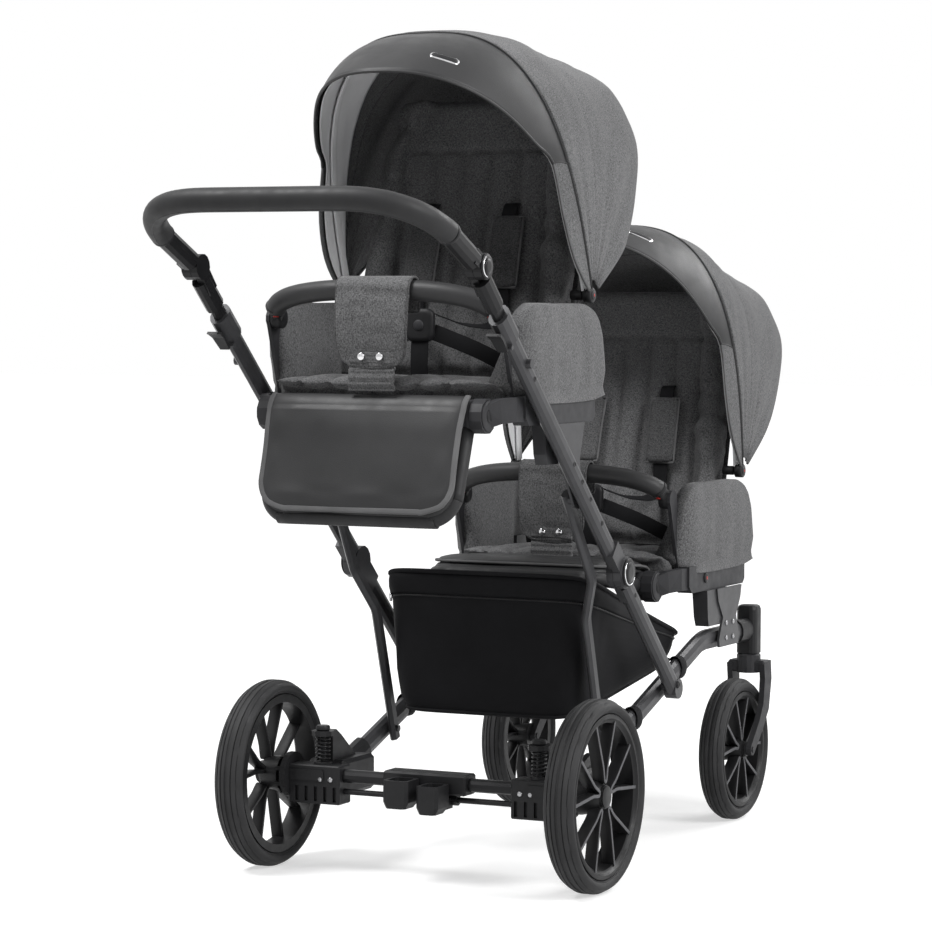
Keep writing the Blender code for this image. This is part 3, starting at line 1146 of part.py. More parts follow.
def hood_hoop(seat, angle, reach, roundness, inset, foot, lean=0.0, shift=0.0):
    """One hoop of the hood, an arch about the pivots, as points from side to side.

    The angle is in degrees, inset draws the arch in, foot is how far from the pivot it starts, lean is
    its share of the visor's overhang, and shift moves it along the normal of its plane.
    """
    turned = math.radians(angle)
    normal = Vector((0, -math.sin(turned), math.cos(turned)))
    pivot = seat_point(seat, 0, *HOOD_PIVOT)
    half = HOOD_HALF_WIDTH - inset
    tall = reach - inset
    points = []
    for across, rise in arch(roundness, foot / tall):
        turned = math.radians(angle + lean * visor_overhang(rise))
        ray = Vector((0, math.cos(turned), math.sin(turned)))
        points.append(pivot + ray * (tall * rise) + AXIS_X * (half * across) + normal * shift)
    return points


def hood_shell(name, seat, hoops, foot, shift=0.0):
    """A thin shell over a row of (angle, reach, roundness, lean) hoops."""
    sections = []
    for angle, reach, roundness, lean in hoops:
        outside = hood_hoop(seat, angle, reach, roundness, 0.0, foot, lean, shift)
        inside = hood_hoop(seat, angle, reach, roundness, HOOD_SHELL, foot, lean, shift)
        sections.append(outside + inside[::-1])
    return loft(name, sections)


def build_hood(seat, name, turned_back):
    """The turning visor on its front hoop, and the canopy behind it, both turned back by some degrees."""
    front_reach, rear_reach = VISOR_REACH
    front_roundness, rear_roundness = VISOR_ROUNDNESS
    hoops = []
    for k in range(4):
        share = k / 3
        reach = front_reach + (rear_reach - front_reach) * share + 0.003 * math.sin(math.pi * share)
        roundness = front_roundness + (rear_roundness - front_roundness) * share
        hoops.append((HOOD_SEAM_ANGLE - turned_back, reach, roundness, 1 - share))
    solids = [hood_shell(name + "_hood_visor", seat, hoops, 0.010)]
    for side in (-1, 1):
        solids.append(side_rod("pivot_disc", seat, side, HOOD_DISC_INNER_X, HOOD_HALF_WIDTH - 0.0005, HOOD_PIVOT,
                               HOOD_PIVOT_RADIUS + 0.002))
    attach(fuse(solids), name + "_hood", "leatherette")
    first, last = CANOPY_HOOPS[0][0], CANOPY_HOOPS[-1][0]
    hoops = []
    for angle, reach, roundness in CANOPY_HOOPS:
        moved = turned_back * ((angle - last) / (first - last)) ** 0.6
        hoops.append((angle - moved, reach, roundness, 0.0))
    canopy = hood_shell(name + "_hood_canopy", seat, hoops, 0.024, -RUNNING_GAP)
    attach(canopy, name + "_back", "fabric")


def build_bumper(seat, name):
    """The bumper bar on its elbows, and the fabric crotch flap folded over it."""
    middle_x = RAIL_INNER_X - 0.0075
    pivot = seat_point(seat, middle_x, *BUMPER_PIVOT)
    lift = Vector((0, -BUMPER_REACH, BUMPER_RISE))
    ahead = lift.normalized()
    centre = seat_point(seat, 0, *BUMPER_PIVOT)
    foot_share = (BUMPER_PIVOT_RADIUS + 0.006) / lift.length
    path = [centre + AXIS_X * (middle_x * across) + lift * rise
            for across, rise in arch(BUMPER_ROUNDNESS, foot_share, 14)]
    solids = [sweep(name + "_bumper_bar", path, oval(BUMPER_RADIUS, BUMPER_RADIUS, 8), AXIS_Z)]
    for side in (-1, 1):
        solids.append(side_rod("elbow", seat, side, RAIL_INNER_X - 0.015, RAIL_INNER_X, BUMPER_PIVOT,
                               BUMPER_PIVOT_RADIUS))
        tongue = [pivot + AXIS_X * (side - 1) * middle_x + ahead * d for d in (0.004, BUMPER_PIVOT_RADIUS + 0.012)]
        solids.append(sweep("tongue", tongue, rectangle(0.0070, 0.0115)))
    attach(fuse(solids), name + "_bumper", "leatherette")

    centre_y = seat[0] + BUMPER_PIVOT[0] - BUMPER_REACH
    centre_z = seat[1] + BUMPER_PIVOT[1] + BUMPER_RISE
    clear = BUMPER_RADIUS + FLAP_CLEARANCE
    outer = clear + FLAP_THICKNESS
    over = [(centre_y - outer, centre_z - FLAP_DROP)]
    over += [(centre_y + outer * math.cos(a), centre_z + outer * math.sin(a))
             for a in (math.pi * (1 - k / 6) for k in range(7))]
    over += [(centre_y + outer, centre_z - 0.034), (centre_y + clear, centre_z - 0.034)]
    over += [(centre_y + clear * math.cos(a), centre_z + clear * math.sin(a))
             for a in (math.pi * k / 6 for k in range(7))]
    over += [(centre_y - clear, centre_z - FLAP_DROP)]
    flap = side_plate(name + "_crotch_flap", over, -FLAP_HALF_WIDTH, FLAP_HALF_WIDTH)
    corners = []
    for side in (-1, 1):
        cut = [(side * FLAP_HALF_WIDTH * 0.66, -1.1), (side * FLAP_HALF_WIDTH * 0.90, -0.93),
               (side * FLAP_HALF_WIDTH * 1.05, -0.72), (side * FLAP_HALF_WIDTH * 1.05, -1.1)]
        corners.append(loft("corner", [[Vector((x, y, centre_z + share * FLAP_DROP)) for x, share in cut]
                                       for y in (centre_y - outer - 0.001, centre_y - clear + 0.001)]))
    attach(fuse([flap], corners), name + "_bumper", "fabric")


def build_footrest(seat, name, drop):
    """The footrest loop on its hubs, and the leatherette apron on it."""
    down = Vector((0, -math.cos(drop), -math.sin(drop)))
    out = Vector((0, -math.sin(drop), math.cos(drop)))
    hub = seat_point(seat, 0, *FOOTREST_HUB)
    side_step = AXIS_X * FOOTREST_TUBE_X
    corners = [hub - side_step, hub - side_step + down * FOOTREST_LENGTH,
               hub + side_step + down * FOOTREST_LENGTH, hub + side_step]
    solids = [sweep(name + "_footrest_loop", rounded_path(corners, 0.045, 3),
                    oval(FOOTREST_TUBE_RADIUS, FOOTREST_TUBE_RADIUS, 8), out)]
    for side in (-1, 1):
        solids.append(side_rod("hub_disc", seat, side, FOOTREST_TUBE_X - 0.006,
                               FOOTREST_TUBE_X + FOOTREST_TUBE_RADIUS, FOOTREST_HUB, FOOTREST_HUB_RADIUS - 0.002))
    attach(fuse(solids), name + "_footrest", "leatherette")
    inner = APRON_INNER_RADIUS
    turns = [APRON_WRAP * (1 - k / 3) for k in range(3)]
    sections = []
    half = FOOTREST_TUBE_X + 0.006
    for x in (-half, -half * 0.95, half * 0.95, half):
        edge = abs(x) == half
        thick = APRON_THICKNESS * (0.55 if edge else 1.0)
        wrap = [(-math.sin(a), math.cos(a)) for a in turns]
        over = [(s * (inner + thick), n * (inner + thick)) for s, n in wrap]
        under = [(s * inner, n * inner) for s, n in reversed(wrap)]
        end = FOOTREST_LENGTH + FOOTREST_TUBE_RADIUS - (0.012 if edge else 0.0)
        rest = FOOTREST_TUBE_RADIUS + RUNNING_GAP
        outline = over + [(0.030, inner + thick), (end - 0.004, rest + thick), (end, rest + thick * 0.6), (end, rest),
                          (0.060, rest), (0.030, inner)] + under
        sections.append([hub + AXIS_X * x + down * s + out * n for s, n in outline])
    apron = loft(name + "_footrest_apron", sections)
    attach(apron, name + "_footrest", "leatherette")


def build_seat(seat, name, parent, drop, turned_back):
    """One complete seat unit on its brackets."""
    add_body(name + "_seat", parent, seat_point(seat, 0, 0, 0))
    add_body(name + "_back", name + "_seat", seat_point(seat, 0, *RECLINE_HINGE))
    add_body(name + "_hood", name + "_back", seat_point(seat, 0, *HOOD_PIVOT))
    add_body(name + "_bumper", name + "_seat", seat_point(seat, 0, *BUMPER_PIVOT))
    add_body(name + "_footrest", name + "_seat", seat_point(seat, 0, *FOOTREST_HUB))
    build_seat_frame(seat, name)
    build_liner(seat, name)
    build_backrest(seat, name)
    build_hood(seat, name, turned_back)
    build_bumper(seat, name)
    build_footrest(seat, name, drop)


for old in list(bpy.data.objects):
    bpy.data.objects.remove(old)

FINISHES = {
    "grey_metal": material("grey_metal", (0.045, 0.045, 0.047), 0.38, 0.6),
    "black_metal": material("black_metal", (0.012, 0.012, 0.013), 0.35, 0.5),
    "steel": material("steel", (0.45, 0.45, 0.46), 0.3, 1.0),
    "black_plastic": material("black_plastic", (0.014, 0.014, 0.015), 0.5),
    "grey_plastic": material("grey_plastic", (0.05, 0.05, 0.052), 0.5),
    "wheel_plastic": material("wheel_plastic", (0.035, 0.035, 0.037), 0.45),
    "tyre": material("tyre", (0.03, 0.03, 0.031), 0.7),
    "leatherette": material("leatherette", (0.04, 0.04, 0.041), 0.45),
    "fabric": material("fabric", (0.07, 0.07, 0.072), 0.9),
    "nylon": material("nylon", (0.008, 0.008, 0.009), 0.8),
}

add_body("chassis", None, (0, 0, 0))
add_body("rear_axle", "chassis", (0, 0, AXLE_Z))
add_body("brake_pedal", "rear_axle", (0, 0, AXLE_Z - LINK_ROD_DROP))
for side_label, sign in SIDES.items():
    add_body("rear_wheel_" + side_label, "rear_axle", (sign * REAR_WHEEL_X, 0, AXLE_Z))
    add_body("brake_pin_" + side_label, "rear_axle", (sign * CARRIER_OUTER_X, 0, AXLE_Z - BRAKE_PIN_CIRCLE))
    add_body("caster_" + side_label, "chassis", (sign * CASTER_X, CASTER_PIVOT_Y, CASTER_HOUSING_BOTTOM))
    add_body("front_wheel_" + side_label, "caster_" + side_label, (sign * CASTER_X, FRONT_WHEEL_Y, FRONT_TYRE_RADIUS))
add_body("struts", "chassis", (0, STRUT_PIVOT_Y, STRUT_PIVOT_Z))
add_body("fold_link", "chassis", LINK_PIVOT)
add_body("fold_frame", "fold_link", along_tube(0))
for side_label, sign in SIDES.items():
    add_body("lever_" + side_label, "fold_frame", lever_hinge(sign))
add_body("handle_slide", "fold_frame", along_tube(MAIN_TUBE_LENGTH))
add_body("handle", "handle_slide", TILT_JOINT)

build_rear_wheels()
build_front_wheels()
build_carriers()
build_axle()
build_springs()
build_rear_sockets()
build_low_tubes()
build_caster_housings()
build_forks()
build_fold_links()
build_main_tubes()
build_levers()
build_telescope()
build_handle()
build_struts()
build_brackets()
build_basket()
build_seat(UPPER_SEAT, "upper", "fold_frame", UPPER_FOOTREST_DROP, 0.0)
build_seat(LOWER_SEAT, "lower", "chassis", LOWER_FOOTREST_DROP, LOWER_HOOD_TURNED_BACK)
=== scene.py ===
"""Dresses the double stroller's frame: cloth, leatherette, tyres, trims, finishes and the studio."""

import json
import math

import bmesh
import bpy
from bpy.props import FloatProperty, FloatVectorProperty, IntProperty, PointerProperty
from mathutils import Matrix, Vector, noise
from mathutils.bvhtree import BVHTree


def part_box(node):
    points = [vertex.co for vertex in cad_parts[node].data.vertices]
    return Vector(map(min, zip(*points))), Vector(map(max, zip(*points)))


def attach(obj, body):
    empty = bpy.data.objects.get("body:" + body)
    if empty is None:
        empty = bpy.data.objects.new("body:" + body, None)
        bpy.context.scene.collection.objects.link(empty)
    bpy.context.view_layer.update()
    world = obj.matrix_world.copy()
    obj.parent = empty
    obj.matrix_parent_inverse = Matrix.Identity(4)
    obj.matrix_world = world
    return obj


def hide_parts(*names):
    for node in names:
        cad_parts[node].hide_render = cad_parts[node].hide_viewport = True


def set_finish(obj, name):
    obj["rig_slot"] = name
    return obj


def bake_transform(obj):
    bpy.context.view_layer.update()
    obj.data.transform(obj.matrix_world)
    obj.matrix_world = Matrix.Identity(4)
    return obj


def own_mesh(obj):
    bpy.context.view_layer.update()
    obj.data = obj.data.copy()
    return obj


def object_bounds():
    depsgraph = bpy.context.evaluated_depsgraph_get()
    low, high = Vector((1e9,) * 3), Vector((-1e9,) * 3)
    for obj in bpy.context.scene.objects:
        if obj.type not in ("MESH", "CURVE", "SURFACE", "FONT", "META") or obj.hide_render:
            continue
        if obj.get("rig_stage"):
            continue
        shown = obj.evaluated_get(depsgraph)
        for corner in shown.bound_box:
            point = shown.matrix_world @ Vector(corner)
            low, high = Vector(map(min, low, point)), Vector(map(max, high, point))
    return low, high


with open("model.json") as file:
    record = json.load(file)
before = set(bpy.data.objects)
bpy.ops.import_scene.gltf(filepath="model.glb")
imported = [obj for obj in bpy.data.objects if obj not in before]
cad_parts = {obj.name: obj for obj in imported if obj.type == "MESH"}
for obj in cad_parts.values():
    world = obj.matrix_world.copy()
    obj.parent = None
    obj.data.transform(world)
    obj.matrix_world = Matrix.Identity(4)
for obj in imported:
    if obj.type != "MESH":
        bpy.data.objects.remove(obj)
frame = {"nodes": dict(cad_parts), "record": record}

bl_info = {
    "name": "Double Stroller Dressing",
    "version": (1, 0, 0),
    "blender": (4, 5, 0),
    "location": "View3D > Sidebar > Stroller",
    "description": "Builds the cloth, wheels, trims and studio around the stroller's frame",
    "category": "Object",
}

AXIS_X = Vector((1, 0, 0))
AXIS_Y = Vector((0, 1, 0))
AXIS_Z = Vector((0, 0, 1))
SIDES = {"left": -1, "right": 1}
SEATS = ("upper", "lower")
JOINTS = {joint["name"]: joint for joint in frame["record"]["behaviour"]["joints"]}


def joint_place(name):
    """Where a joint's axis stands at rest."""
    return Vector(JOINTS[name]["pos_m"])


AXLE_Y = joint_place("rear_wheel_spin_left").y

# Places in a seat, from the middle of its underside
RECLINE_HINGE = Vector((0, 0.105, 0.052))
HOOD_PIVOT = Vector((0, 0.124, 0.1975))
BUMPER_PIVOT = Vector((0, -0.150, 0.160))
FOOTREST_HUB = Vector((0, -0.190, 0.016))

# Sizes of the frame that the soft parts are cut to
TUBE_SLOPE = math.radians(42)
TUBE_UP = Vector((0, -math.cos(TUBE_SLOPE), math.sin(TUBE_SLOPE)))
TUBE_X = 0.235
BACK_ANGLE = math.radians(15.5)
BACK_LENGTH = 0.475
BACK_HALF_WIDTH = 0.183
FOOTREST_LENGTH = 0.165
FOOTREST_TUBE_X = 0.158
FOOTREST_TUBE_RADIUS = 0.012
FOOTREST_DROP = {"upper": math.radians(70), "lower": math.radians(-8)}

# Hoods: angles in degrees about the pivots, 90 straight up and less toward the back
HOOD_TURNED_BACK = {"upper": 0.0, "lower": 14.0}
HOOD_HALF_WIDTH = 0.2215
SEAM_ANGLE = 110
PANEL_SEAM = 84
CLOTH_START = 0.5
ARCH_LOW = 14
ARCH_HIGH = 34
# At the visor's free edge and at its seam
VISOR_REACH = (0.458, 0.431)
VISOR_ROUNDNESS = (2.35, 2.9)
# (share of the height, degrees that the free edge stands forward)
VISOR_OVERHANG = ((0.0, 34), (0.155, 30), (0.31, 19), (0.5, 8), (0.6, 12.5), (0.8, 17.5), (1.0, 22.7))
# (angle, reach from the pivots, roundness)
CANOPY_HOOPS = ((109.5, 0.4295, 2.9), (98, 0.412, 2.95), (88, 0.401, 3.0), (78, 0.402, 3.05),
                (67, 0.415, 3.2), (57, 0.433, 3.7), (47, 0.416, 4.2), (38, 0.350, 4.2), (30, 0.275, 4.2))


def seat_at(name, x, y, z):
    """A point given from a seat's own reference."""
    return joint_place(name + "_recline") - RECLINE_HINGE + Vector((x, y, z))


# Sizes and colours that a user would change, and where they are kept

def colour_property(label, about, value):
    """A colour in the panel."""
    return FloatVectorProperty(name=label, description=about, default=value, subtype="COLOR", min=0, max=1)


def length_property(label, about, value):
    """A length in the panel."""
    return FloatProperty(name=label, description=about, default=value, unit="LENGTH", min=0, precision=4)


class StrollerSizes(bpy.types.PropertyGroup):
    """Sizes of the stroller's soft parts and tyres"""
    piping: length_property("Piping", "Radius of the piping round the hoods", 0.0026)
    webbing: length_property("Webbing", "Width of the harness webbing", 0.025)
    channel: length_property("Channel depth", "Depth of the sewn channels in the pads", 0.0065)
    cloth: length_property("Cloth", "Thickness of a single layer of cloth", 0.0016)
    wheel_sides: IntProperty(name="Wheel sides", description="Facets round each tyre", default=128, min=24)


class StrollerColours(bpy.types.PropertyGroup):
    """Colours of the stroller's finishes"""
    cloth_light: colour_property("Light thread", "Light thread of the melange cloth", (0.205, 0.205, 0.208))
    cloth_dark: colour_property("Dark thread", "Dark thread of the melange cloth", (0.050, 0.050, 0.052))
    leatherette: colour_property("Leatherette", "Visors, aprons, grip and bumper bars", (0.028, 0.028, 0.029))
    tube: colour_property("Tube", "Frame tubes", (0.050, 0.050, 0.053))
    plastic: colour_property("Plastic", "Black mouldings", (0.013, 0.013, 0.014))
    rim: colour_property("Rim", "Wheel mouldings", (0.030, 0.030, 0.032))
    tyre: colour_property("Tyre", "Rubber", (0.030, 0.030, 0.031))
    nylon: colour_property("Nylon", "Basket cloth", (0.007, 0.007, 0.008))
    lining: colour_property("Lining", "Inside of the hoods", (0.84, 0.84, 0.85))
    webbing: colour_property("Webbing", "Harness straps", (0.010, 0.010, 0.011))


def sizes():
    """The sizes as set in the panel."""
    return bpy.context.scene.stroller_sizes


def colours():
    """The colours as set in the panel."""
    return bpy.context.scene.stroller_colours


# Materials

def add_node(tree, kind, values=(), **settings):
    """A new shader node with its settings and the values of its inputs."""
    made = tree.nodes.new("ShaderNode" + kind)
    for name, value in settings.items():
        setattr(made, name, value)
    for name, value in dict(values).items():
        made.inputs[name].default_value = value
    return made


def shader_of(name, roughness, metallic=0.0, specular=0.5):
    """A new Principled material, its node tree and its shader."""
    made = bpy.data.materials.new(name)
    made.use_nodes = True
    shader = made.node_tree.nodes["Principled BSDF"]
    shader.inputs["Roughness"].default_value = roughness
    shader.inputs["Metallic"].default_value = metallic
    shader.inputs["Specular IOR Level"].default_value = specular
    return made, made.node_tree, shader


def own_place(tree):
    """The object's own coordinates, so that a pattern stays on its piece."""
    return add_node(tree, "TexCoord").outputs["Object"]


def stretched_noise(tree, scale, detail=2.0):
    """Noise in the object's own coordinates, with a scale for each axis."""
    mapping = add_node(tree, "Mapping", {"Scale": scale})
    pattern = add_node(tree, "TexNoise", {"Scale": 1.0, "Detail": detail})
    tree.links.new(own_place(tree), mapping.inputs["Vector"])
    tree.links.new(mapping.outputs["Vector"], pattern.inputs["Vector"])
    return pattern.outputs["Fac"]


def ramp(tree, value, *stops):
    """A colour ramp over a value, with two (position, colour) stops."""
    made = add_node(tree, "ValToRGB")
    for element, (position, colour) in zip(made.color_ramp.elements, stops):
        element.position = position
        element.color = (*colour, 1)
    tree.links.new(value, made.inputs["Fac"])
    return made.outputs["Color"]


def patches(tree, scale, low, high):
    """Two colours that fade into each other in soft patches."""
    return ramp(tree, stretched_noise(tree, (scale,) * 3, 3.0), (0.3, low), (0.7, high))


def blend_values(tree, first, second, share, kind="MIX"):
    """Two values or colours mixed."""
    made = add_node(tree, "Mix", data_type="RGBA", blend_type=kind)
    made.inputs[0].default_value = share
    tree.links.new(first, made.inputs[6])
    tree.links.new(second, made.inputs[7])
    return made.outputs[2]


def add_bump(tree, shader, height, distance, strength):
    """A bump from a height pattern."""
    bump = add_node(tree, "Bump", {"Distance": distance, "Strength": strength})
    tree.links.new(height, bump.inputs["Height"])
    tree.links.new(bump.outputs["Normal"], shader.inputs["Normal"])


def scaled(colour, factor):
    """A colour made lighter or darker."""
    return tuple(channel * factor for channel in colour)


def mottled(tree, shader, colour, scale, spread):
    """Base colour that drifts a little over the surface."""
    drift = patches(tree, scale, scaled(colour, 1 - spread), scaled(colour, 1 + spread))
    tree.links.new(drift, shader.inputs["Base Color"])


def worn(tree, shader, scale, low, high):
    """Roughness that drifts a little over the surface."""
    tree.links.new(patches(tree, scale, (low,) * 3, (high,) * 3), shader.inputs["Roughness"])


def melange_cloth(name="melange_cloth", factor=1.0):
    """Charcoal melange: light and dark threads, a fine weave and slight wear in broad patches."""
    made, tree, shader = shader_of(name, 0.92, specular=0.10)
    shader.inputs["Sheen Weight"].default_value = 0.10
    shader.inputs["Sheen Roughness"].default_value = 0.5
    upright = stretched_noise(tree, (1050, 1050, 260))
    level = stretched_noise(tree, (300, 300, 1050))
    threads = blend_values(tree, upright, level, 0.42)
    weave = ramp(tree, threads, (0.37, scaled(colours().cloth_dark, factor)),
                 (0.63, scaled(colours().cloth_light, factor)))
    # Broad patches up to 14% darker over the whole cloth: painted shade.
    painted_shade_patches = patches(tree, 9, (0.86,) * 3, (1.0,) * 3)
    tree.links.new(blend_values(tree, weave, painted_shade_patches, 1.0, "MULTIPLY"), shader.inputs["Base Color"])
    add_bump(tree, shader, threads, 0.0006, 0.55)
    return made


def leatherette():
    """Soft dark leatherette with a fine pebbled grain."""
    made, tree, shader = shader_of("leatherette_skin", 0.44, specular=0.26)
    mottled(tree, shader, colours().leatherette, 14, 0.10)
    grain = add_node(tree, "TexVoronoi", {"Scale": 750})
    tree.links.new(own_place(tree), grain.inputs["Vector"])
    add_bump(tree, shader, grain.outputs["Distance"], 0.00025, 0.4)
    worn(tree, shader, 30, 0.40, 0.54)
    return made


def moulded(name, colour, roughness=0.5, metallic=0.0, grain=1400, depth=0.00012):
    """A fine-grained moulding or a coated metal."""
    made, tree, shader = shader_of(name, roughness, metallic, 0.5 if metallic > 0.9 else 0.20)
    mottled(tree, shader, colour, 40, 0.10)
    add_bump(tree, shader, stretched_noise(tree, (grain,) * 3, 1.0), depth, 0.4)
    worn(tree, shader, 60, roughness * 0.85, roughness * 1.12)
    return made


def woven(name, colour, roughness, pitch, depth):
    """Plain nylon or webbing: a fine rib both ways."""
    made, tree, shader = shader_of(name, roughness, specular=0.12)
    mottled(tree, shader, colour, 20, 0.16)
    place = own_place(tree)
    waves = [add_node(tree, "TexWave", {"Scale": 0.314 / pitch}, bands_direction=way) for way in "XZ"]
    for wave in waves:
        tree.links.new(place, wave.inputs["Vector"])
    add_bump(tree, shader, blend_values(tree, *(wave.outputs["Fac"] for wave in waves), 0.5), depth, 0.5)
    return made


def rough_stuff(name, roughness, specular, colour, scale, spread, grain, depth, strength, detail=2.0):
    """Rubber or lining: a mottled colour over a plain grain."""
    made, tree, shader = shader_of(name, roughness, specular=specular)
    mottled(tree, shader, colour, scale, spread)
    add_bump(tree, shader, stretched_noise(tree, grain, detail), depth, strength)
    return made


def make_finishes():
    """Every finish of the stroller, by its plain name."""
    tint = colours()
    return {
        "cloth": melange_cloth(),
        # The same melange at two thirds of its brightness: painted shade on the back shells and shoulder
        # pads; the panel seams and flap bindings take it as a dark joint.
        "cloth_dark": melange_cloth("melange_painted_shade", 0.66),
        "binding": woven("binding_tape", (0.13, 0.13, 0.132), 0.85, 0.0012, 0.0002),
        "leatherette": leatherette(),
        "tube": moulded("tube_paint", tint.tube, 0.36, 0.2, 2200, 0.00005),
        "dark_metal": moulded("dark_coating", tint.plastic, 0.34, 0.3, 2200, 0.00005),
        "plastic": moulded("black_moulding", tint.plastic, 0.48),
        "soft_plastic": moulded("charcoal_moulding", scaled(tint.plastic, 2.4), 0.55),
        # Two copies of the one rim colour: the moulding at a third of it, and the spokes' outward faces at
        # three times it, a painted highlight.
        "rim": moulded("rim_moulding", scaled(tint.rim, 0.35), 0.42),
        "painted_highlight_rim_face": moulded("painted_highlight_rim_faces", scaled(tint.rim, 3.0), 0.5),
        "tyre": rough_stuff("tyre_rubber", 0.62, 0.2, tint.tyre, 25, 0.18, (900, 260, 260), 0.0004, 0.5, 3.0),
        "nylon": woven("basket_nylon", tint.nylon, 0.7, 0.0016, 0.0003),
        "lining": rough_stuff("lining_cloth", 0.8, 0.3, tint.lining, 12, 0.06, (700,) * 3, 0.0003, 0.4),
        "webbing": woven("harness_webbing", tint.webbing, 0.75, 0.0018, 0.0004),
        "chrome": moulded("chrome_trim", (0.62, 0.62, 0.63), 0.16, 1.0, 1400, 0.00002),
        "steel": moulded("bolt_steel", (0.32, 0.32, 0.33), 0.3, 1.0, 1400, 0.00003),
        "red": moulded("red_mark", (0.35, 0.02, 0.015), 0.4),
        "grip": moulded("grip_foam", scaled(tint.leatherette, 0.95), 0.52, 0.0, 1500, 0.0002),
    }


FINISHES = {}
SLOTS = {
    "cloth": "fabric", "cloth_dark": "fabric", "binding": "fabric", "leatherette": "leatherette",
    "tube": "grey_metal", "dark_metal": "black_metal", "plastic": "black_plastic",
    "soft_plastic": "grey_plastic", "rim": "wheel_plastic", "painted_highlight_rim_face": "wheel_plastic",
    "tyre": "tyre", "nylon": "nylon", "lining": "fabric", "webbing": "nylon", "chrome": "steel",
    "steel": "steel", "red": "black_plastic", "grip": "leatherette",
}


def finish(name):
    """A finish by its plain name; all of them are made when the first is asked for."""
    if not FINISHES:
        FINISHES.update(make_finishes())
    return FINISHES[name]


# Curves and shares

def clamp(value):
    """A value kept between 0 and 1."""
    return min(1.0, max(0.0, value))


def bell(distance, width):
    """A soft bump: 1 at no distance and nearly 0 two widths away."""
    return math.exp(-(distance / width) ** 2)


def squared(value, power):
    """A sine or cosine pushed outward, which turns a circle into a rounded square."""
    return math.copysign(abs(value) ** power, value)


def dome(over):
    """What is left of a thickness where its rounding has run this share of its way."""
    return math.sqrt(max(0.0, 1 - max(0.0, over) ** 2))


def ripple(*place):
    """Smooth noise at a place."""
    return noise.noise(Vector(place))


def even_turns(count):
    """Angles in even steps, once round."""
    return [2 * math.pi * k / count for k in range(count)]


def around_x(centre, along, radius, angle):
    """A point round the x direction through a centre."""
    return centre + Vector((along, radius * math.cos(angle), radius * math.sin(angle)))


def between(table, at):
    """A smooth value from rows of (position, value), by position."""
    rows = sorted(table)
    if at <= rows[0][0]:
        return rows[0][1]
    for i in range(len(rows) - 1):
        if at <= rows[i + 1][0]:
            low, high = rows[i], rows[i + 1]
            before = rows[i - 1] if i else low
            after = rows[i + 2] if i + 2 < len(rows) else high
            span = high[0] - low[0]
            t = (at - low[0]) / span
            slope_low = (high[1] - before[1]) / (high[0] - before[0]) * span
            slope_high = (after[1] - low[1]) / (after[0] - low[0]) * span
            return ((2 * t ** 3 - 3 * t * t + 1) * low[1] + (t ** 3 - 2 * t * t + t) * slope_low
                    + (3 * t * t - 2 * t ** 3) * high[1] + (t ** 3 - t * t) * slope_high)
    return rows[-1][1]


# Modelling helpers

def place_object(name, data):
    """A new object in the scene."""
    made = bpy.data.objects.new(name, data)
    bpy.context.collection.objects.link(made)
    return made


def skin(name, rows, look, ring=False, loop=False, caps=False):
    """A surface over rows of points; ring closes each row, loop joins the last row to the first."""
    width = len(rows[0])
    faces = []
    for i in range(len(rows) if loop else len(rows) - 1):
        for j in range(width if ring else width - 1):
            a, b = i * width, ((i + 1) % len(rows)) * width
            k = (j + 1) % width
            faces.append((a + j, a + k, b + k, b + j))
    if caps:
        faces.append(tuple(range(width))[::-1])
        faces.append(tuple(range((len(rows) - 1) * width, len(rows) * width)))
    mesh = bpy.data.meshes.new(name)
    mesh.from_pydata([tuple(point) for row in rows for point in row], [], faces)
    mesh.materials.append(finish(look))
    mesh.shade_smooth()
    mesh.update()
    made = place_object(name, mesh)
    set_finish(made, SLOTS[look])
    return made


def face_out(made):
    """Turn a closed mesh's faces outward."""
    shape = bmesh.new()
    shape.from_mesh(made.data)
    bmesh.ops.recalc_face_normals(shape, faces=shape.faces)
    shape.to_mesh(made.data)
    shape.free()
    return made


def face_up(made):
    """Turn an open sheet over if its middle faces down."""
    if made.data.polygons[len(made.data.polygons) // 2].normal.z < 0:
        made.data.flip_normals()


def solid(name, rows, look):
    """A closed piece over rings of points, with flat ends."""
    return face_out(skin(name, rows, look, ring=True, caps=True))


def ride(made, body, node=None):
    """Hang a piece on a body, in the place of the frame's node where one is named."""
    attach(made, body)
    if node:
        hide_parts(node)


def stuffed(made, body, node=None):
    """Hang a padded piece on a body, stuffed to a share of its inside."""
    ride(made, body, node)


def thicken(made, thickness, offset=0.0):
    """Give a sheet its thickness."""
    layer = made.modifiers.new("thickness", "SOLIDIFY")
    layer.thickness = thickness
    layer.offset = offset
    return made


def sharp(made, degrees=35):
    """Shade round pieces smooth and keep their corners."""
    made.data.set_sharp_from_angle(angle=math.radians(degrees))
    return made


def circle(radius, sides=20, flat=1.0):
    """A round or oval outline."""
    return [(radius * math.cos(a), radius * flat * math.sin(a)) for a in even_turns(sides)]


def rounded_box(half_wide, half_high, corner, steps=4):
    """A rectangle outline with round corners."""
    points = []
    for quarter, (sign_a, sign_b) in enumerate(((1, 1), (-1, 1), (-1, -1), (1, -1))):
        for step in range(steps + 1):
            angle = math.pi / 2 * (quarter + step / steps)
            points.append((sign_a * (half_wide - corner) + corner * math.cos(angle),
                           sign_b * (half_high - corner) + corner * math.sin(angle)))
    return points


def carried(path, outline, hint, closed=False):
    """Copies of an outline set square to a path, each turned as little as the path allows."""
    rows = []
    count = len(path)
    for i, point in enumerate(path):
        before = path[(i - 1) % count] if closed else path[max(i - 1, 0)]
        after = path[(i + 1) % count] if closed else path[min(i + 1, count - 1)]
        tangent = (after - before).normalized()
        across = (hint - tangent * hint.dot(tangent)).normalized()
        hint = across
        up = tangent.cross(across)
        rows.append([point + across * a + up * b for a, b in outline])
    return rows


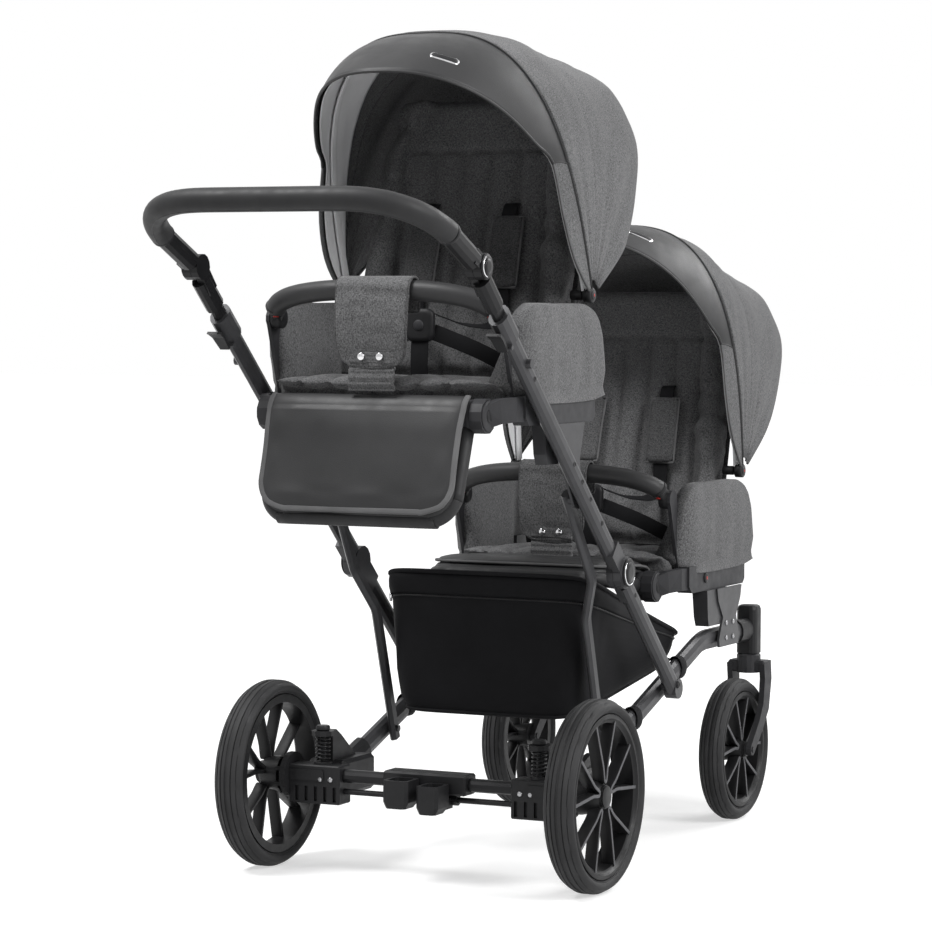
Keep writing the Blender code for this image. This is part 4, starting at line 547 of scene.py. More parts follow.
def bar(name, path, outline, look, hint=AXIS_X, closed=False):
    """A solid bar along a path."""
    rows = carried(path, outline, hint, closed)
    return face_out(skin(name, rows, look, ring=True, loop=closed, caps=not closed))


def smooth_path(points, steps=6, closed=False):
    """A smooth curve through points."""
    count = len(points)
    path = []
    for i in range(count if closed else count - 1):
        if closed:
            a, b, c, d = (points[(i + k - 1) % count] for k in range(4))
        else:
            b, c = points[i], points[i + 1]
            a = points[i - 1] if i else b * 2 - c
            d = points[i + 2] if i + 2 < count else c * 2 - b
        for step in range(steps):
            t = step / steps
            path.append(0.5 * (2 * b + (c - a) * t + (2 * a - 5 * b + 4 * c - d) * t * t
                               + (3 * b - a - 3 * c + d) * t ** 3))
    if not closed:
        path.append(points[-1])
    return path


def rounded_path(points, radius, steps=10):
    """A row of points whose inner corners are turned into arcs."""
    path = [points[0]]
    for before, corner, after in zip(points, points[1:], points[2:]):
        back = (before - corner).normalized()
        ahead = (after - corner).normalized()
        half = back.angle(ahead) / 2
        reach = radius / math.tan(half)
        centre = corner + (back + ahead).normalized() * (radius / math.sin(half))
        start = (corner + back * reach - centre).normalized()
        end = (corner + ahead * reach - centre).normalized()
        path.extend(centre + start.slerp(end, step / steps) * radius for step in range(steps + 1))
    return path + [points[-1]]


def eased(path, step, rounds):
    """A path in even steps whose bends come on gently; its ends stay."""
    even = [path[0]]
    for a, b in zip(path, path[1:]):
        count = max(1, round((b - a).length / step))
        even.extend(a.lerp(b, k / count) for k in range(1, count + 1))
    for _ in range(rounds):
        even = [even[0]] + [(a + b * 2 + c) / 4 for a, b, c in zip(even, even[1:], even[2:])] + [even[-1]]
    return even


def turned(name, profile, centre, look, axis=AXIS_X, sides=48, closed=False):
    """A turned piece: a profile of (radius, along) about an axis."""
    axis = axis.normalized()
    level = (AXIS_Y if abs(axis.y) < 0.9 else AXIS_Z).cross(axis).normalized()
    up = axis.cross(level)
    rows = [[centre + axis * along + (level * math.cos(a) + up * math.sin(a)) * radius
             for a in even_turns(sides)] for radius, along in profile]
    return sharp(face_out(skin(name, rows, look, ring=True, loop=closed, caps=not closed)))


def disc(name, place, radius, depth, look, sign, rim=0.0012):
    """A flat round cover with a soft edge, facing outward."""
    profile = [(radius, 0), (radius, depth - rim), (radius - rim, depth), (radius * 0.5, depth + 0.0003)]
    return turned(name, profile, place, look, AXIS_X * sign)


def join(name, parts):
    """Several meshes as one object, each face keeping its finish."""
    points = []
    faces = []
    materials = []
    indices = []
    for part in parts:
        start = len(points)
        points.extend(tuple(part.matrix_world @ vertex.co) for vertex in part.data.vertices)
        for polygon in part.data.polygons:
            faces.append(tuple(start + index for index in polygon.vertices))
            look = part.data.materials[polygon.material_index]
            if look not in materials:
                materials.append(look)
            indices.append(materials.index(look))
    mesh = bpy.data.meshes.new(name)
    mesh.from_pydata(points, [], faces)
    for look in materials:
        mesh.materials.append(look)
    mesh.polygons.foreach_set("material_index", indices)
    mesh.shade_smooth()
    mesh.update()
    made = place_object(name, mesh)
    made["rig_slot"] = parts[0]["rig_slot"]
    for part in parts:
        bpy.data.objects.remove(part)
    return made


def apply_modifiers(made):
    """Replace an object's mesh by what its modifiers give."""
    graph = bpy.context.evaluated_depsgraph_get()
    mesh = bpy.data.meshes.new_from_object(made.evaluated_get(graph))
    made.modifiers.clear()
    made.data = mesh


SWELL_FRAMES = 20


def swell(made, cap, voxel=0.005):
    """Blow a pad up like stuffed cloth, no point moving further than the cap."""
    remesh = made.modifiers.new("even", "REMESH")
    remesh.mode = "VOXEL"
    remesh.voxel_size = voxel
    apply_modifiers(made)
    rest = [vertex.co.copy() for vertex in made.data.vertices]
    cloth = made.modifiers.new("cloth", "CLOTH")
    cloth.settings.use_pressure = True
    cloth.settings.uniform_pressure_force = 4.0
    cloth.settings.quality = 5
    cloth.settings.effector_weights.gravity = 0
    cloth.point_cache.frame_start = 1
    cloth.point_cache.frame_end = SWELL_FRAMES
    for number in range(1, SWELL_FRAMES + 1):
        bpy.context.scene.frame_set(number)
    apply_modifiers(made)
    bpy.context.scene.frame_set(1)
    for vertex, start in zip(made.data.vertices, rest):
        move = vertex.co - start
        if move.length > cap:
            vertex.co = start + move * (cap / move.length)
    made.data.shade_smooth()
    smooth = made.modifiers.new("even_out", "SMOOTH")
    smooth.iterations = 3
    apply_modifiers(made)
    return made


# Wheels

WHEELS = {
    "rear": {"radius": 0.150, "width": 0.050, "hub": 0.030, "hub_in": -0.025, "hub_out": 0.021, "notches": 8},
    "front": {"radius": 0.124, "width": 0.044, "hub": 0.022, "hub_in": -0.0248, "hub_out": 0.0248,
              "notches": 0},
}
SPOKES = 5
# The tyre's outline as (height over the bead, share of half width), then as (depth under the tread, share)
SIDEWALL = ((0, 0.70), (0.0025, 0.80), (0.0035, 0.785), (0.0050, 0.86), (0.0090, 0.995), (0.0105, 0.985),
            (0.0120, 0.990))
TREAD = ((0.0075, 0.90), (0.0062, 0.80), (0.0040, 0.70), (0.0052, 0.66), (0.0026, 0.60), (0.0004, 0.40),
         (0.0022, 0.355), (0.0001, 0.31), (0, 0.12), (0.0020, 0.07), (0.0020, 0.0))
BEAD_DEPTH = 0.0225
RIM_DEPTH = 0.0228
NOTCH_DEPTH = 0.0011
NOTCH_STEP = 8
NOTCH_FOOT = 0.0050


def build_tyre(end, side):
    """An air tyre with beads, sidewall rings, stepped shoulders and a grooved tread."""
    radius, half = WHEELS[end]["radius"], WHEELS[end]["width"] / 2
    bead = radius - BEAD_DEPTH
    outline = [(bead + up, share) for up, share in SIDEWALL]
    outline += [(radius - down, share) for down, share in TREAD]
    profile = [(r, -share * half) for r, share in outline]
    profile += [(r, share * half) for r, share in outline[-2::-1]]
    centre = joint_place(end + "_wheel_spin_" + side)
    rows = []
    for k, turn in enumerate(even_turns(sizes().wheel_sides)):
        notch = NOTCH_DEPTH if k % NOTCH_STEP in (0, 1) else 0.0
        row = []
        for r, along in profile:
            if radius - NOTCH_FOOT < r < radius - 0.0003 and abs(along) > 0.5 * half:
                r -= notch
            row.append(around_x(centre, along, r, turn - math.pi / 2))
        rows.append(row)
    tyre = face_out(skin("tyre_" + end + "_" + side, rows, "tyre", ring=True, loop=True))
    ride(sharp(tyre, 50), end + "_wheel_" + side, end + "_tyre_" + side)


def spoke(centre, radius_in, radius_out, face, depth, middle):
    """One U-shaped double spoke with softened edges; face is how far its front stands along x."""
    spread = math.pi / 10
    stations = ((radius_out, 1.0), (radius_out * 0.80, 0.93), (radius_out * 0.58, 0.80),
                (radius_in * 2.0, 0.56), (radius_in * 1.35, 0.50), (radius_in * 1.05, 0.36))
    arms = [(r, middle + spread * share) for r, share in stations]
    arms += [(radius_in, middle)]
    arms += [(r, middle - spread * share) for r, share in reversed(stations)]
    path = smooth_path([around_x(centre, face - depth / 2, r, a) for r, a in arms], 4)
    made = bar("spoke", path, rounded_box(abs(depth) / 2, 0.0028, 0.0010, 2), "rim")
    # Faces that look outward take the lighter copy of the rim colour: painted highlight.
    made.data.materials.append(finish("painted_highlight_rim_face"))
    for polygon in made.data.polygons:
        if polygon.normal.x * depth > 0.8 * abs(depth):
            polygon.material_index = 1
    return made


def build_rim(end, side):
    """A moulded wheel: stepped rim barrel, domed hub cap and five double spokes."""
    wheel, outward = WHEELS[end], SIDES[side]
    centre = joint_place(end + "_wheel_spin_" + side)
    hub, hub_in, hub_out, notches = (wheel[key] for key in ("hub", "hub_in", "hub_out", "notches"))
    outer = wheel["radius"] - RIM_DEPTH
    half = wheel["width"] * 0.40
    cap = hub * 0.57
    barrel = ((outer - 0.013, -half), (outer, -half), (outer, half), (outer - 0.0015, half + 0.0012),
              (outer - 0.0065, half + 0.0012), (outer - 0.0080, half - 0.0004),
              (outer - 0.0095, half - 0.0030), (outer - 0.013, half - 0.0045))
    middle = ((hub, hub_in), (hub, hub_in + 0.004), (hub * 0.82, hub_out - 0.014),
              (cap + 0.0015, hub_out - 0.007), (cap + 0.0015, hub_out - 0.0035), (cap, hub_out - 0.0035),
              (cap, hub_out - 0.001), (cap * 0.8, hub_out), (cap * 0.4, hub_out + 0.0007))
    parts = [turned("barrel", [(r, outward * x) for r, x in barrel], centre, "rim", sides=96, closed=True),
             turned("hub", [(r, outward * x) for r, x in middle], centre, "rim", sides=64)]
    for turn in even_turns(SPOKES):
        parts.append(spoke(centre, hub * 0.78, outer - 0.006, outward * (half - 0.002), outward * 0.020,
                           math.pi / 2 + turn))
    if notches:
        teeth = ((-0.33, 0.0215), (0.0, 0.0215), (0.33, 0.0215), (0.36, 0.033), (0.5, 0.033), (0.64, 0.033))
        ring = [(r, math.pi / 2 + (k + share) * 2 * math.pi / notches)
                for k in range(notches) for share, r in teeth]
        rows = [[around_x(centre, outward * along, r, a) for r, a in ring]
                for along in (hub_in - 0.0085, hub_in)]
        parts.append(solid("ring", rows, "rim"))
    ride(sharp(join("rim_" + end + "_" + side, parts), 40), end + "_wheel_" + side, end + "_rim_" + side)


def build_wheels():
    """Tyres and rims of the four wheels, each in the place of the frame's own."""
    for side in SIDES:
        for build in (build_tyre, build_rim):
            for end in WHEELS:
                build(end, side)


# Axle and frame

SPRING_TURNS = 6
SPRING_STEPS = 24
SPRING_WIRE = 0.0017
SPRING_RADIUS = 0.0105


def build_axle_trims():
    """Fine-wound springs with their knobs, and the studs and covers of the axle blocks."""
    steps = SPRING_TURNS * SPRING_STEPS
    for side, sign in SIDES.items():
        low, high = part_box("spring_" + side)
        middle = (Vector(low) + Vector(high)) / 2
        tall = high[2] - low[2]
        climb = tall - 2 * SPRING_WIRE
        path = []
        for k in range(steps + 1):
            a = 2 * math.pi * k / SPRING_STEPS
            path.append(Vector((middle.x + sign * SPRING_RADIUS * math.cos(a),
                                middle.y + SPRING_RADIUS * math.sin(a),
                                low[2] + SPRING_WIRE + climb * k / steps)))
        coil = bar("spring_coil_" + side, path, circle(SPRING_WIRE, 10), "dark_metal", AXIS_Z)
        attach(coil, "rear_axle")
        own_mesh(coil)
        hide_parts("spring_" + side)
        top = Vector((middle.x, middle.y, high[2] + 0.0085))
        ride(turned("spring_knob_" + side, [(0.0100, 0), (0.0115, 0.002), (0.0115, 0.006), (0.0100, 0.0085)],
                    top, "plastic", AXIS_Z), "rear_axle")
        studs = [turned("stud", [(0.0042, 0), (0.0042, 0.0012), (0.003, 0.0022)],
                        Vector((sign * along, AXLE_Y - 0.0201, 0.150 - 0.002)), "steel", -AXIS_Y, 20)
                 for along in (0.166, 0.184)]
        ride(join("carrier_studs_" + side, studs), "rear_axle")
        rows = [[Vector((sign * x + sign * 0.212, AXLE_Y - 0.0206 - lift, z + 0.150 + 0.004))
                 for x, z in rounded_box(0.034, 0.0085, 0.003)] for lift in (-0.002, 0.0016)]
        ride(sharp(solid("carrier_cover_" + side, rows, "plastic")), "rear_axle")


PAIRED_NODES = {
    "low_tube": "tube", "main_tube_lower": "tube", "main_tube_upper": "tube", "strut": "tube",
    "upper_bracket": "tube", "lower_bracket": "tube", "handle_inner_tube": "dark_metal",
    "rear_carrier": "plastic", "rear_socket": "plastic", "caster_housing": "plastic",
    "caster_fork": "soft_plastic", "telescope_lever": "plastic", "brake_pin": "steel",
}
SINGLE_NODES = {
    "axle_tube": "dark_metal", "brake_housing": "plastic", "brake_pedal": "plastic",
    "handle_tube": "dark_metal", "upper_seat_frame": "soft_plastic", "lower_seat_frame": "soft_plastic",
}


def finish_nodes():
    """The frame's own pieces in their finishes."""
    for base, look in PAIRED_NODES.items():
        for side in SIDES:
            dress(base + "_" + side, look)
    for node, look in SINGLE_NODES.items():
        dress(node, look)


def dress(node, look):
    """Put a finish on a frame piece."""
    piece = frame["nodes"][node]
    if not piece.material_slots:
        piece.data.materials.append(finish(look))
    for each in piece.material_slots:
        each.material = finish(look)


def on_tube(distance, sign, out=0.0):
    """A point of a main tube's centre line, up from the fold hinge, moved outward."""
    return joint_place("frame_fold") + TUBE_UP * distance + AXIS_X * (sign * (TUBE_X + out))


def ringed_cover(name, place, sign, body, cap, middle, arc):
    """A round joint cover: a cap (radius, depth), a darker middle (lift, radius, depth) and an arc
    let into it (lift, radius, start, sweep)."""
    lift, radius, start, sweep = arc
    path = [around_x(place, sign * lift, radius, start + sweep * k / 24) for k in range(25)]
    parts = [disc("cap", place, *cap, "plastic", sign),
             disc("middle", place + AXIS_X * sign * middle[0], *middle[1:], "dark_metal", sign),
             bar("arc", path, circle(0.0011, 8), "chrome", AXIS_X * sign)]
    ride(join(name, parts), body)


def build_frame_trims():
    """Hinge covers, adjustment holes and bolts on the tubes."""
    for side, sign in SIDES.items():
        ringed_cover("fold_cover_" + side, on_tube(0, sign, 0.0172), sign, "fold_frame",
                     (0.0232, 0.0022), (0.0015, 0.0165, 0.0024), (0.0022, 0.0199, 2.2, 3.6))
        holes = [turned("hole", [(0.0042, 0), (0.0042, 0.0005), (0.0030, 0.0006), (0.0028, -0.0006)],
                        on_tube(distance, sign, 0.0108), "plastic", AXIS_X * sign, 20)
                 for distance in (0.125, 0.185, 0.228, 0.270, 0.470)]
        ride(join("tube_holes_" + side, holes), "fold_frame")
        place = joint_place("fold_link_turn") + AXIS_X * sign * (TUBE_X + 0.0112)
        bolts = [turned("bolt", [(0.0056, 0), (0.0056, 0.0025), (0.004, 0.0034), (0.0022, 0.0024)], place,
                        "dark_metal", AXIS_X * sign, 24),
                 turned("hole", [(0.0036, 0), (0.0036, 0.0008), (0.0026, 0.0008)],
                        on_tube(-0.060, sign, 0.0106), "plastic", AXIS_X * sign, 20)]
        ride(join("link_bolts_" + side, bolts), "fold_link")


def build_bracket_trims():
    """Screws of the lower brackets, and the red-marked release buttons."""
    for side, sign in SIDES.items():
        low, high = (Vector(corner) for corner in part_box("lower_bracket_" + side))
        outer = high.x if sign > 0 else low.x
        seat_y = seat_at("lower", 0, 0, 0).y
        screws = [turned("screw", [(0.0042, 0), (0.0042, 0.0014), (0.003, 0.0022)],
                         Vector((outer, seat_y + ahead, low.z + up)), "steel", AXIS_X * sign, 20)
                  for ahead, up in ((0.030, 0.014), (0.062, 0.014), (0.030, 0.040), (0.062, 0.040))]
        ride(join("bracket_screws_" + side, screws), "chassis")
        for seat in SEATS:
            place = seat_at(seat, sign * 0.2221, -0.052, 0.022)
            button = disc("button", place, 0.0085, 0.003, "plastic", sign)
            mark = disc("mark", place + AXIS_X * sign * 0.0028, 0.0030, 0.0006, "red", sign, 0.0002)
            ride(join("seat_release_" + seat + "_" + side, [button, mark]), seat + "_seat")


# Handle

HANDLE_RISE = math.radians(25.4)
GRIP_RADIUS = 0.018
GRIP_BEND = 0.105
GRIP_START = 0.110
GRIP_REACH = 0.218


def build_handle():
    """The padded grip with its seam, and the covers of the tilt joints."""
    out = Vector((0, -math.cos(HANDLE_RISE), math.sin(HANDLE_RISE)))
    joint = joint_place("handle_tilt")
    ends = ((GRIP_START, -TUBE_X), (GRIP_REACH, -TUBE_X), (GRIP_REACH, TUBE_X), (GRIP_START, TUBE_X))
    corners = [joint + out * reach + AXIS_X * x for reach, x in ends]
    dense = eased(rounded_path(corners, GRIP_BEND, 16), 0.008, 14)
    rows = carried(dense, circle(GRIP_RADIUS, 28), out.cross(AXIS_X))
    first, last = ([point + (corner - point) * 0.66 for corner in row]
                   for row, point in ((rows[0], dense[0]), (rows[-1], dense[-1])))
    ride(sharp(solid("grip_sleeve", [first, *rows, last], "grip"), 50), "handle", "handle_grip")
    under = -out.cross(AXIS_X).normalized()
    seam = [point + under * (GRIP_RADIUS - 0.0002) for point in dense]
    ride(bar("grip_seam", seam, circle(0.0007, 6), "leatherette", under), "handle")
    for side, sign in SIDES.items():
        ringed_cover("tilt_cover_" + side, joint + AXIS_X * sign * (TUBE_X + 0.0131), sign, "handle",
                     (0.0188, 0.0030), (0.0024, 0.0120, 0.0028), (0.0030, 0.0152, 2.0, 2.6))
        ride(turned("grip_collar_" + side, [(0.0175, 0), (0.0182, 0.001), (0.0182, 0.005), (0.0175, 0.006)],
                    joint + out * 0.104 + AXIS_X * sign * TUBE_X, "plastic", out, 40), "handle")


# Basket

BASKET_REAR = 0.190
BASKET_LONG = 0.420
BASKET_HALF_WIDTH = 0.160
BASKET_SPREAD = 0.025
BASKET_SQUARENESS = 9.0
ZIP_LEVEL = 0.83
BASKET_LEVELS = (0, 0.02, 0.05, 0.1, 0.2, 0.3, 0.4, 0.5, 0.6, 0.7, 0.8, 0.9, 0.96, 1.0)
BASKET_STEPS = 176
# Height of the rear top and rear floor; the front ones follow the low tubes
BASKET_TOP = 0.468
BASKET_FLOOR = 0.236


def low_tube_front():
    """Height of the low tubes at their front end."""
    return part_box("caster_housing_left")[0][2] + 0.0425


def basket_point(around, level, inset=0.0):
    """A point of the basket's cloth: around is 0 to 1 round the ring, level is 0 at the floor."""
    tube = low_tube_front()
    top_front = tube + 0.008
    floor_front = tube - 0.038
    pull = 0.008 * (1 - level / 0.08) if level < 0.08 else 0.0
    half_wide = BASKET_HALF_WIDTH + BASKET_SPREAD * level - inset - pull
    half_long = BASKET_LONG / 2 - inset - pull
    power = 2 / BASKET_SQUARENESS
    angle = 2 * math.pi * around
    a = squared(math.cos(angle), power) * half_wide
    b = squared(math.sin(angle), power) * half_long
    share = (b + BASKET_LONG / 2) / BASKET_LONG
    z_low = BASKET_FLOOR + (floor_front - BASKET_FLOOR) * share
    z_high = BASKET_TOP + (top_front - BASKET_TOP) * share
    z = z_low + (z_high - z_low) * level
    belly = math.sin(math.pi * clamp(level))
    fold = ripple(a * 14, b * 14, z * 9) * 0.0045 * belly
    fold += ripple(a * 34 + z * 22, b * 34, z * 16 - a * 12) * 0.0022 * belly
    droop = 0.004 * math.sin(math.pi * share) * level ** 3
    stretch = 1 + (belly * 0.0035 + fold) / half_wide
    y = AXLE_Y + BASKET_REAR + BASKET_LONG / 2 + b * (1 + fold / half_long)
    return Vector((a * stretch, y, z - droop))


def basket_ring(level, inset=0.0):
    """The basket's cloth at one level, all the way round."""
    return [basket_point(k / BASKET_STEPS, level, inset) for k in range(BASKET_STEPS)]


def build_basket():
    """The black nylon basket: sagging body, floor, rolled hem, zip with its flap and pulls, and straps."""
    rows = [basket_ring(level) for level in BASKET_LEVELS]
    body = skin("basket_body", rows, "nylon", ring=True)
    ride(thicken(body, sizes().cloth), "chassis", "basket")
    ring = rows[0]
    centre = sum(ring, Vector()) / len(ring)
    floor_rows = [[centre.lerp(point, share) - AXIS_Z * (0.004 * (1 - share ** 2)) for point in ring]
                  for share in (1.0, 0.8, 0.6, 0.4, 0.2, 0.05)]
    floor = skin("basket_floor", floor_rows, "nylon", ring=True)
    ride(thicken(floor, sizes().cloth), "chassis")
    hem = [point + AXIS_Z * 0.001 for point in rows[-1]]
    for name, line, outline, look in (
            ("basket_hem", hem, circle(0.0042, 10, 1.4), "nylon"),
            ("basket_zip", basket_ring(ZIP_LEVEL, -0.0014), circle(0.0016, 8), "plastic"),
            ("basket_edge", basket_ring(0.015, -0.0014), circle(0.003, 8), "webbing")):
        ride(bar(name, line, outline, look, AXIS_Z, closed=True), "chassis")
    flap = []
    half_round = [0.5 + k / BASKET_STEPS for k in range(BASKET_STEPS // 2 + 1)]
    for level in (0.99, 0.95, 0.90, 0.86, 0.845):
        lift = 0.0022 + 0.002 * math.sin(math.pi * (level - 0.84) / 0.15)
        flap.append([basket_point(around, level, -lift) for around in half_round])
    cover = skin("basket_flap", flap, "nylon")
    ride(thicken(cover, 0.0012), "chassis")
    pulls = [turned("pull", [(0.0022, -0.004), (0.003, 0), (0.0022, 0.010)],
                    basket_point(at, ZIP_LEVEL, -0.004), "chrome", -AXIS_Z, 16) for at in (0.63, 0.885)]
    ride(join("zip_pulls", pulls), "chassis")
    build_basket_straps()


def build_basket_straps():
    """Short straps that tie the basket to the low tubes."""
    rear, front = 0.118, 0.625
    tube_rear = Vector((0.2055, 0, 0.156))
    tube_front = Vector((0.2085, 0, low_tube_front()))
    parts = []
    for ahead in (0.330, 0.520):
        tube = tube_rear.lerp(tube_front, (ahead - rear) / (front - rear)) + AXIS_Y * (AXLE_Y + ahead)
        for sign in SIDES.values():
            path = [(-0.052, 0.018), (-0.020, 0.014)]
            path += [(0.0138 * math.cos(a), 0.0195 * math.sin(a))
                     for a in (math.pi * (0.8 - 0.16 * k) for k in range(12))]
            points = [Vector((sign * (tube.x + x), tube.y, tube.z + z)) for x, z in path]
            parts.append(bar("strap", smooth_path(points, 3), rounded_box(0.011, 0.0007, 0.0006, 2),
                             "webbing", AXIS_Y))
    ride(join("basket_straps", parts), "chassis")


# Seat pads

CHANNELS = (-0.125, -0.075, -0.025, 0.025, 0.075, 0.125)
CHANNEL_HALF = 0.0045
HEAD_SEAM = 0.378
BACK_FRONT, BACK_REAR, BOLSTER_RISE = 0.0215, 0.0180, 0.024
# (share of the height, share of the full half width)
BACK_WIDTHS = ((0.0, 0.93), (0.03, 0.98), (0.35, 1.0), (0.7, 0.97), (0.90, 0.90), (0.97, 0.80), (1.0, 0.68))
# Seat cushion and side wings: (y in the seat, height or half width)
CUSHION_FRONT, CUSHION_REAR = -0.213, 0.052
CUSHION_BOTTOM = 0.0150
LIP_REAR, LIP_RISE = -0.146, 0.0445
CUSHION_TOP = ((-0.213, 0.0645), (-0.19, 0.0660), (-0.15, 0.0665), (-0.08, 0.0650), (0.052, 0.0600))
CUSHION_HALF = ((-0.213, 0.158), (-0.205, 0.170), (-0.19, 0.181), (-0.16, 0.190), (-0.13, 0.1945))
WING_FRONT, WING_REAR = -0.134, 0.170
WING_MIDDLE, WING_INSIDE, WING_OUTSIDE = 0.2150, 0.2029, 0.2245
WING_TOP = ((-0.134, 0.128), (-0.126, 0.158), (-0.112, 0.176), (-0.09, 0.1845), (0.0, 0.1840),
            (0.095, 0.184), (0.130, 0.178), (0.150, 0.163), (0.162, 0.125), (0.170, 0.070))
WING_HEM = ((-0.134, 0.060), (-0.124, 0.042), (-0.10, 0.034), (0.0, 0.031), (0.12, 0.033), (0.170, 0.040))


def groove(across):
    """How deep the sewn channels draw the pad in, as a share, at a distance across it."""
    return sum(bell(across - line, CHANNEL_HALF) for line in CHANNELS)


def puff(across):
    """How far the pad swells between its channels, as a share."""
    for low, high in zip(CHANNELS, CHANNELS[1:]):
        if low <= across <= high:
            return math.sin(math.pi * (across - low) / (high - low)) ** 2
    return 0.0


def seat_cushion_form():
    """The seat cushion about the seat's reference: crowned, with a rolled front lip."""
    deep, around, power = 64, 112, 2 / 5.0
    length = CUSHION_REAR - CUSHION_FRONT
    rows = []
    for i in range(deep + 1):
        share = i / deep
        y = CUSHION_FRONT + length * share
        low = CUSHION_BOTTOM + (LIP_RISE if y < LIP_REAR else 0)
        top = between(CUSHION_TOP, y)
        tall = (top - low) / 2 * max(dome(1 - min(share, 1 - share) * length / 0.014), 0.12)
        wide = between(CUSHION_HALF, y)
        rows.append([Vector((squared(math.cos(a), power) * wide, y,
                             (low + top) / 2 + squared(math.sin(a), power) * tall))
                     for a in even_turns(around)])
    return solid("seat_cushion_form", rows, "cloth")


def moved_vertices(made):
    """Each vertex of a mesh with its normal from before any of them is moved."""
    made.data.update()
    return list(zip(made.data.vertices, [vertex.normal.copy() for vertex in made.data.vertices]))


def channel_seat(made, depth):
    """Sew the channels into the top and the front lip of a seat cushion."""
    for vertex, normal in moved_vertices(made):
        if normal.z > 0.25 or normal.y < -0.35:
            x, y = vertex.co.x, vertex.co.y
            cross = bell(y + 0.172, 0.005) if normal.z > 0.25 else 0.0
            wave = ripple(x * 9, y * 11, 3.1) * 0.002
            fade = clamp((0.190 - abs(x)) / 0.02)
            vertex.co += normal * ((0.004 * puff(x) - depth * max(groove(x), 0.8 * cross) + wave) * fade)
    made.data.update()


def back_cushion_form():
    """The backrest pad in its own axes: x across, y out of the front, z up from its foot."""
    tall, front_count, rear_count = 120, 96, 40
    rows = []
    for i in range(tall + 1):
        share = i / tall
        z = BACK_LENGTH * share
        depth = max(dome(1 - min(share, 1 - share) * BACK_LENGTH / 0.020), 0.10)
        half = BACK_HALF_WIDTH * between(BACK_WIDTHS, share) - 0.002
        row = []
        for k in range(front_count + 1):
            u = -1 + 2 * k / front_count
            edge = dome((abs(u) - 0.93) / 0.07)
            bolster = 0.5 - 0.5 * math.cos(math.pi * clamp((abs(u) - 0.67) / 0.13))
            front = BACK_FRONT + BOLSTER_RISE * bolster
            row.append(Vector((u * half, (front * edge - 0.004 * (1 - edge)) * depth, z)))
        for k in range(1, rear_count):
            u = 1 - 2 * k / rear_count
            row.append(Vector((u * half, -BACK_REAR * dome((abs(u) - 0.85) / 0.15) * depth, z)))
        rows.append(row)
    return solid("back_cushion_form", rows, "cloth")


def channel_back(made, depth):
    """Crease the bolsters and sew the channels and the headrest seam into a backrest pad."""
    for vertex, normal in moved_vertices(made):
        crease = ripple(vertex.co.x * 12, vertex.co.z * 34, 5.5) - 0.1
        if abs(vertex.co.x) > 0.118 and normal.y > -0.3:
            vertex.co += normal * (min(crease, 0.12) * 0.014)
        if normal.y < 0.2:
            continue
        x, z = vertex.co.x, vertex.co.z
        below = 1.0 if z < HEAD_SEAM - 0.004 else bell(z - HEAD_SEAM + 0.004, 0.004)
        cross = bell(z - HEAD_SEAM, 0.0045) if abs(x) < 0.125 else 0.0
        swelling = 0.004 * puff(x) * below
        swelling += 0.004 * (1 - below) * math.cos(math.pi * x / 0.30)
        wave = ripple(x * 8, z * 10, 7.7) * 0.0024
        fade = min(clamp((BACK_LENGTH - z) / 0.03), clamp(z / 0.02))
        vertex.co += AXIS_Y * ((swelling - depth * max(groove(x) * below, cross) + wave) * fade)
    made.data.update()


def placed_copy(form, name, matrix):
    """A copy of a finished pad, its points moved to where it belongs."""
    made = form.copy()
    made.data = form.data.copy()
    made.name = name
    made.data.transform(matrix)
    bpy.context.collection.objects.link(made)
    return made


def wing_rows(name, sign):
    """Closed sections of a padded side wing, from its soft front edge to the rear."""
    count, around = 44, 52
    length = WING_REAR - WING_FRONT
    rows = []
    for i in range(count + 1):
        share = i / count
        y = WING_FRONT + length * share
        top, hem = between(WING_TOP, y), between(WING_HEM, y)
        thick = 0.0080 * max(dome(1 - min(share, 1 - share) * length / 0.012), 0.15)
        section = []
        for angle in even_turns(around):
            z = (top + hem) / 2 + (top - hem) / 2 * squared(math.sin(angle), 0.22)
            out = squared(math.cos(angle), 0.7)
            height = (z - hem) / (top - hem)
            draw = 0.022 * bell(y + 0.140, 0.026) * (1 - 0.75 * height)
            fold = 0.0032 * ripple(y * 26 + z * 12, z * 14 - y * 10, sign * 2.0)
            if out < 0:
                room = min(clamp((y + 0.098) / 0.02), clamp((0.085 - y) / 0.02))
                x = WING_INSIDE - 2 * draw - room * (0.0045 * math.sin(math.pi * height) + 0.003 + 1.4 * fold)
            else:
                belly = 0.0045 * math.sin(math.pi * clamp(height))
                line = 0.0028 * bell(z - hem - 0.018, 0.003) if out > 0 else 0
                x = max(WING_MIDDLE + belly - draw + fold + out * thick - line,
                        WING_OUTSIDE - 2 * draw - 0.012 * height)
            section.append(seat_at(name, sign * x, y, z))
        rows.append(section)
    return rows


def back_axes(name):
    """The backrest's foot, its up direction and its forward normal."""
    up = Vector((0, math.sin(BACK_ANGLE), math.cos(BACK_ANGLE)))
    out = Vector((0, -math.cos(BACK_ANGLE), math.sin(BACK_ANGLE)))
    return seat_at(name, 0, RECLINE_HINGE.y, RECLINE_HINGE.z + 0.006), up, out


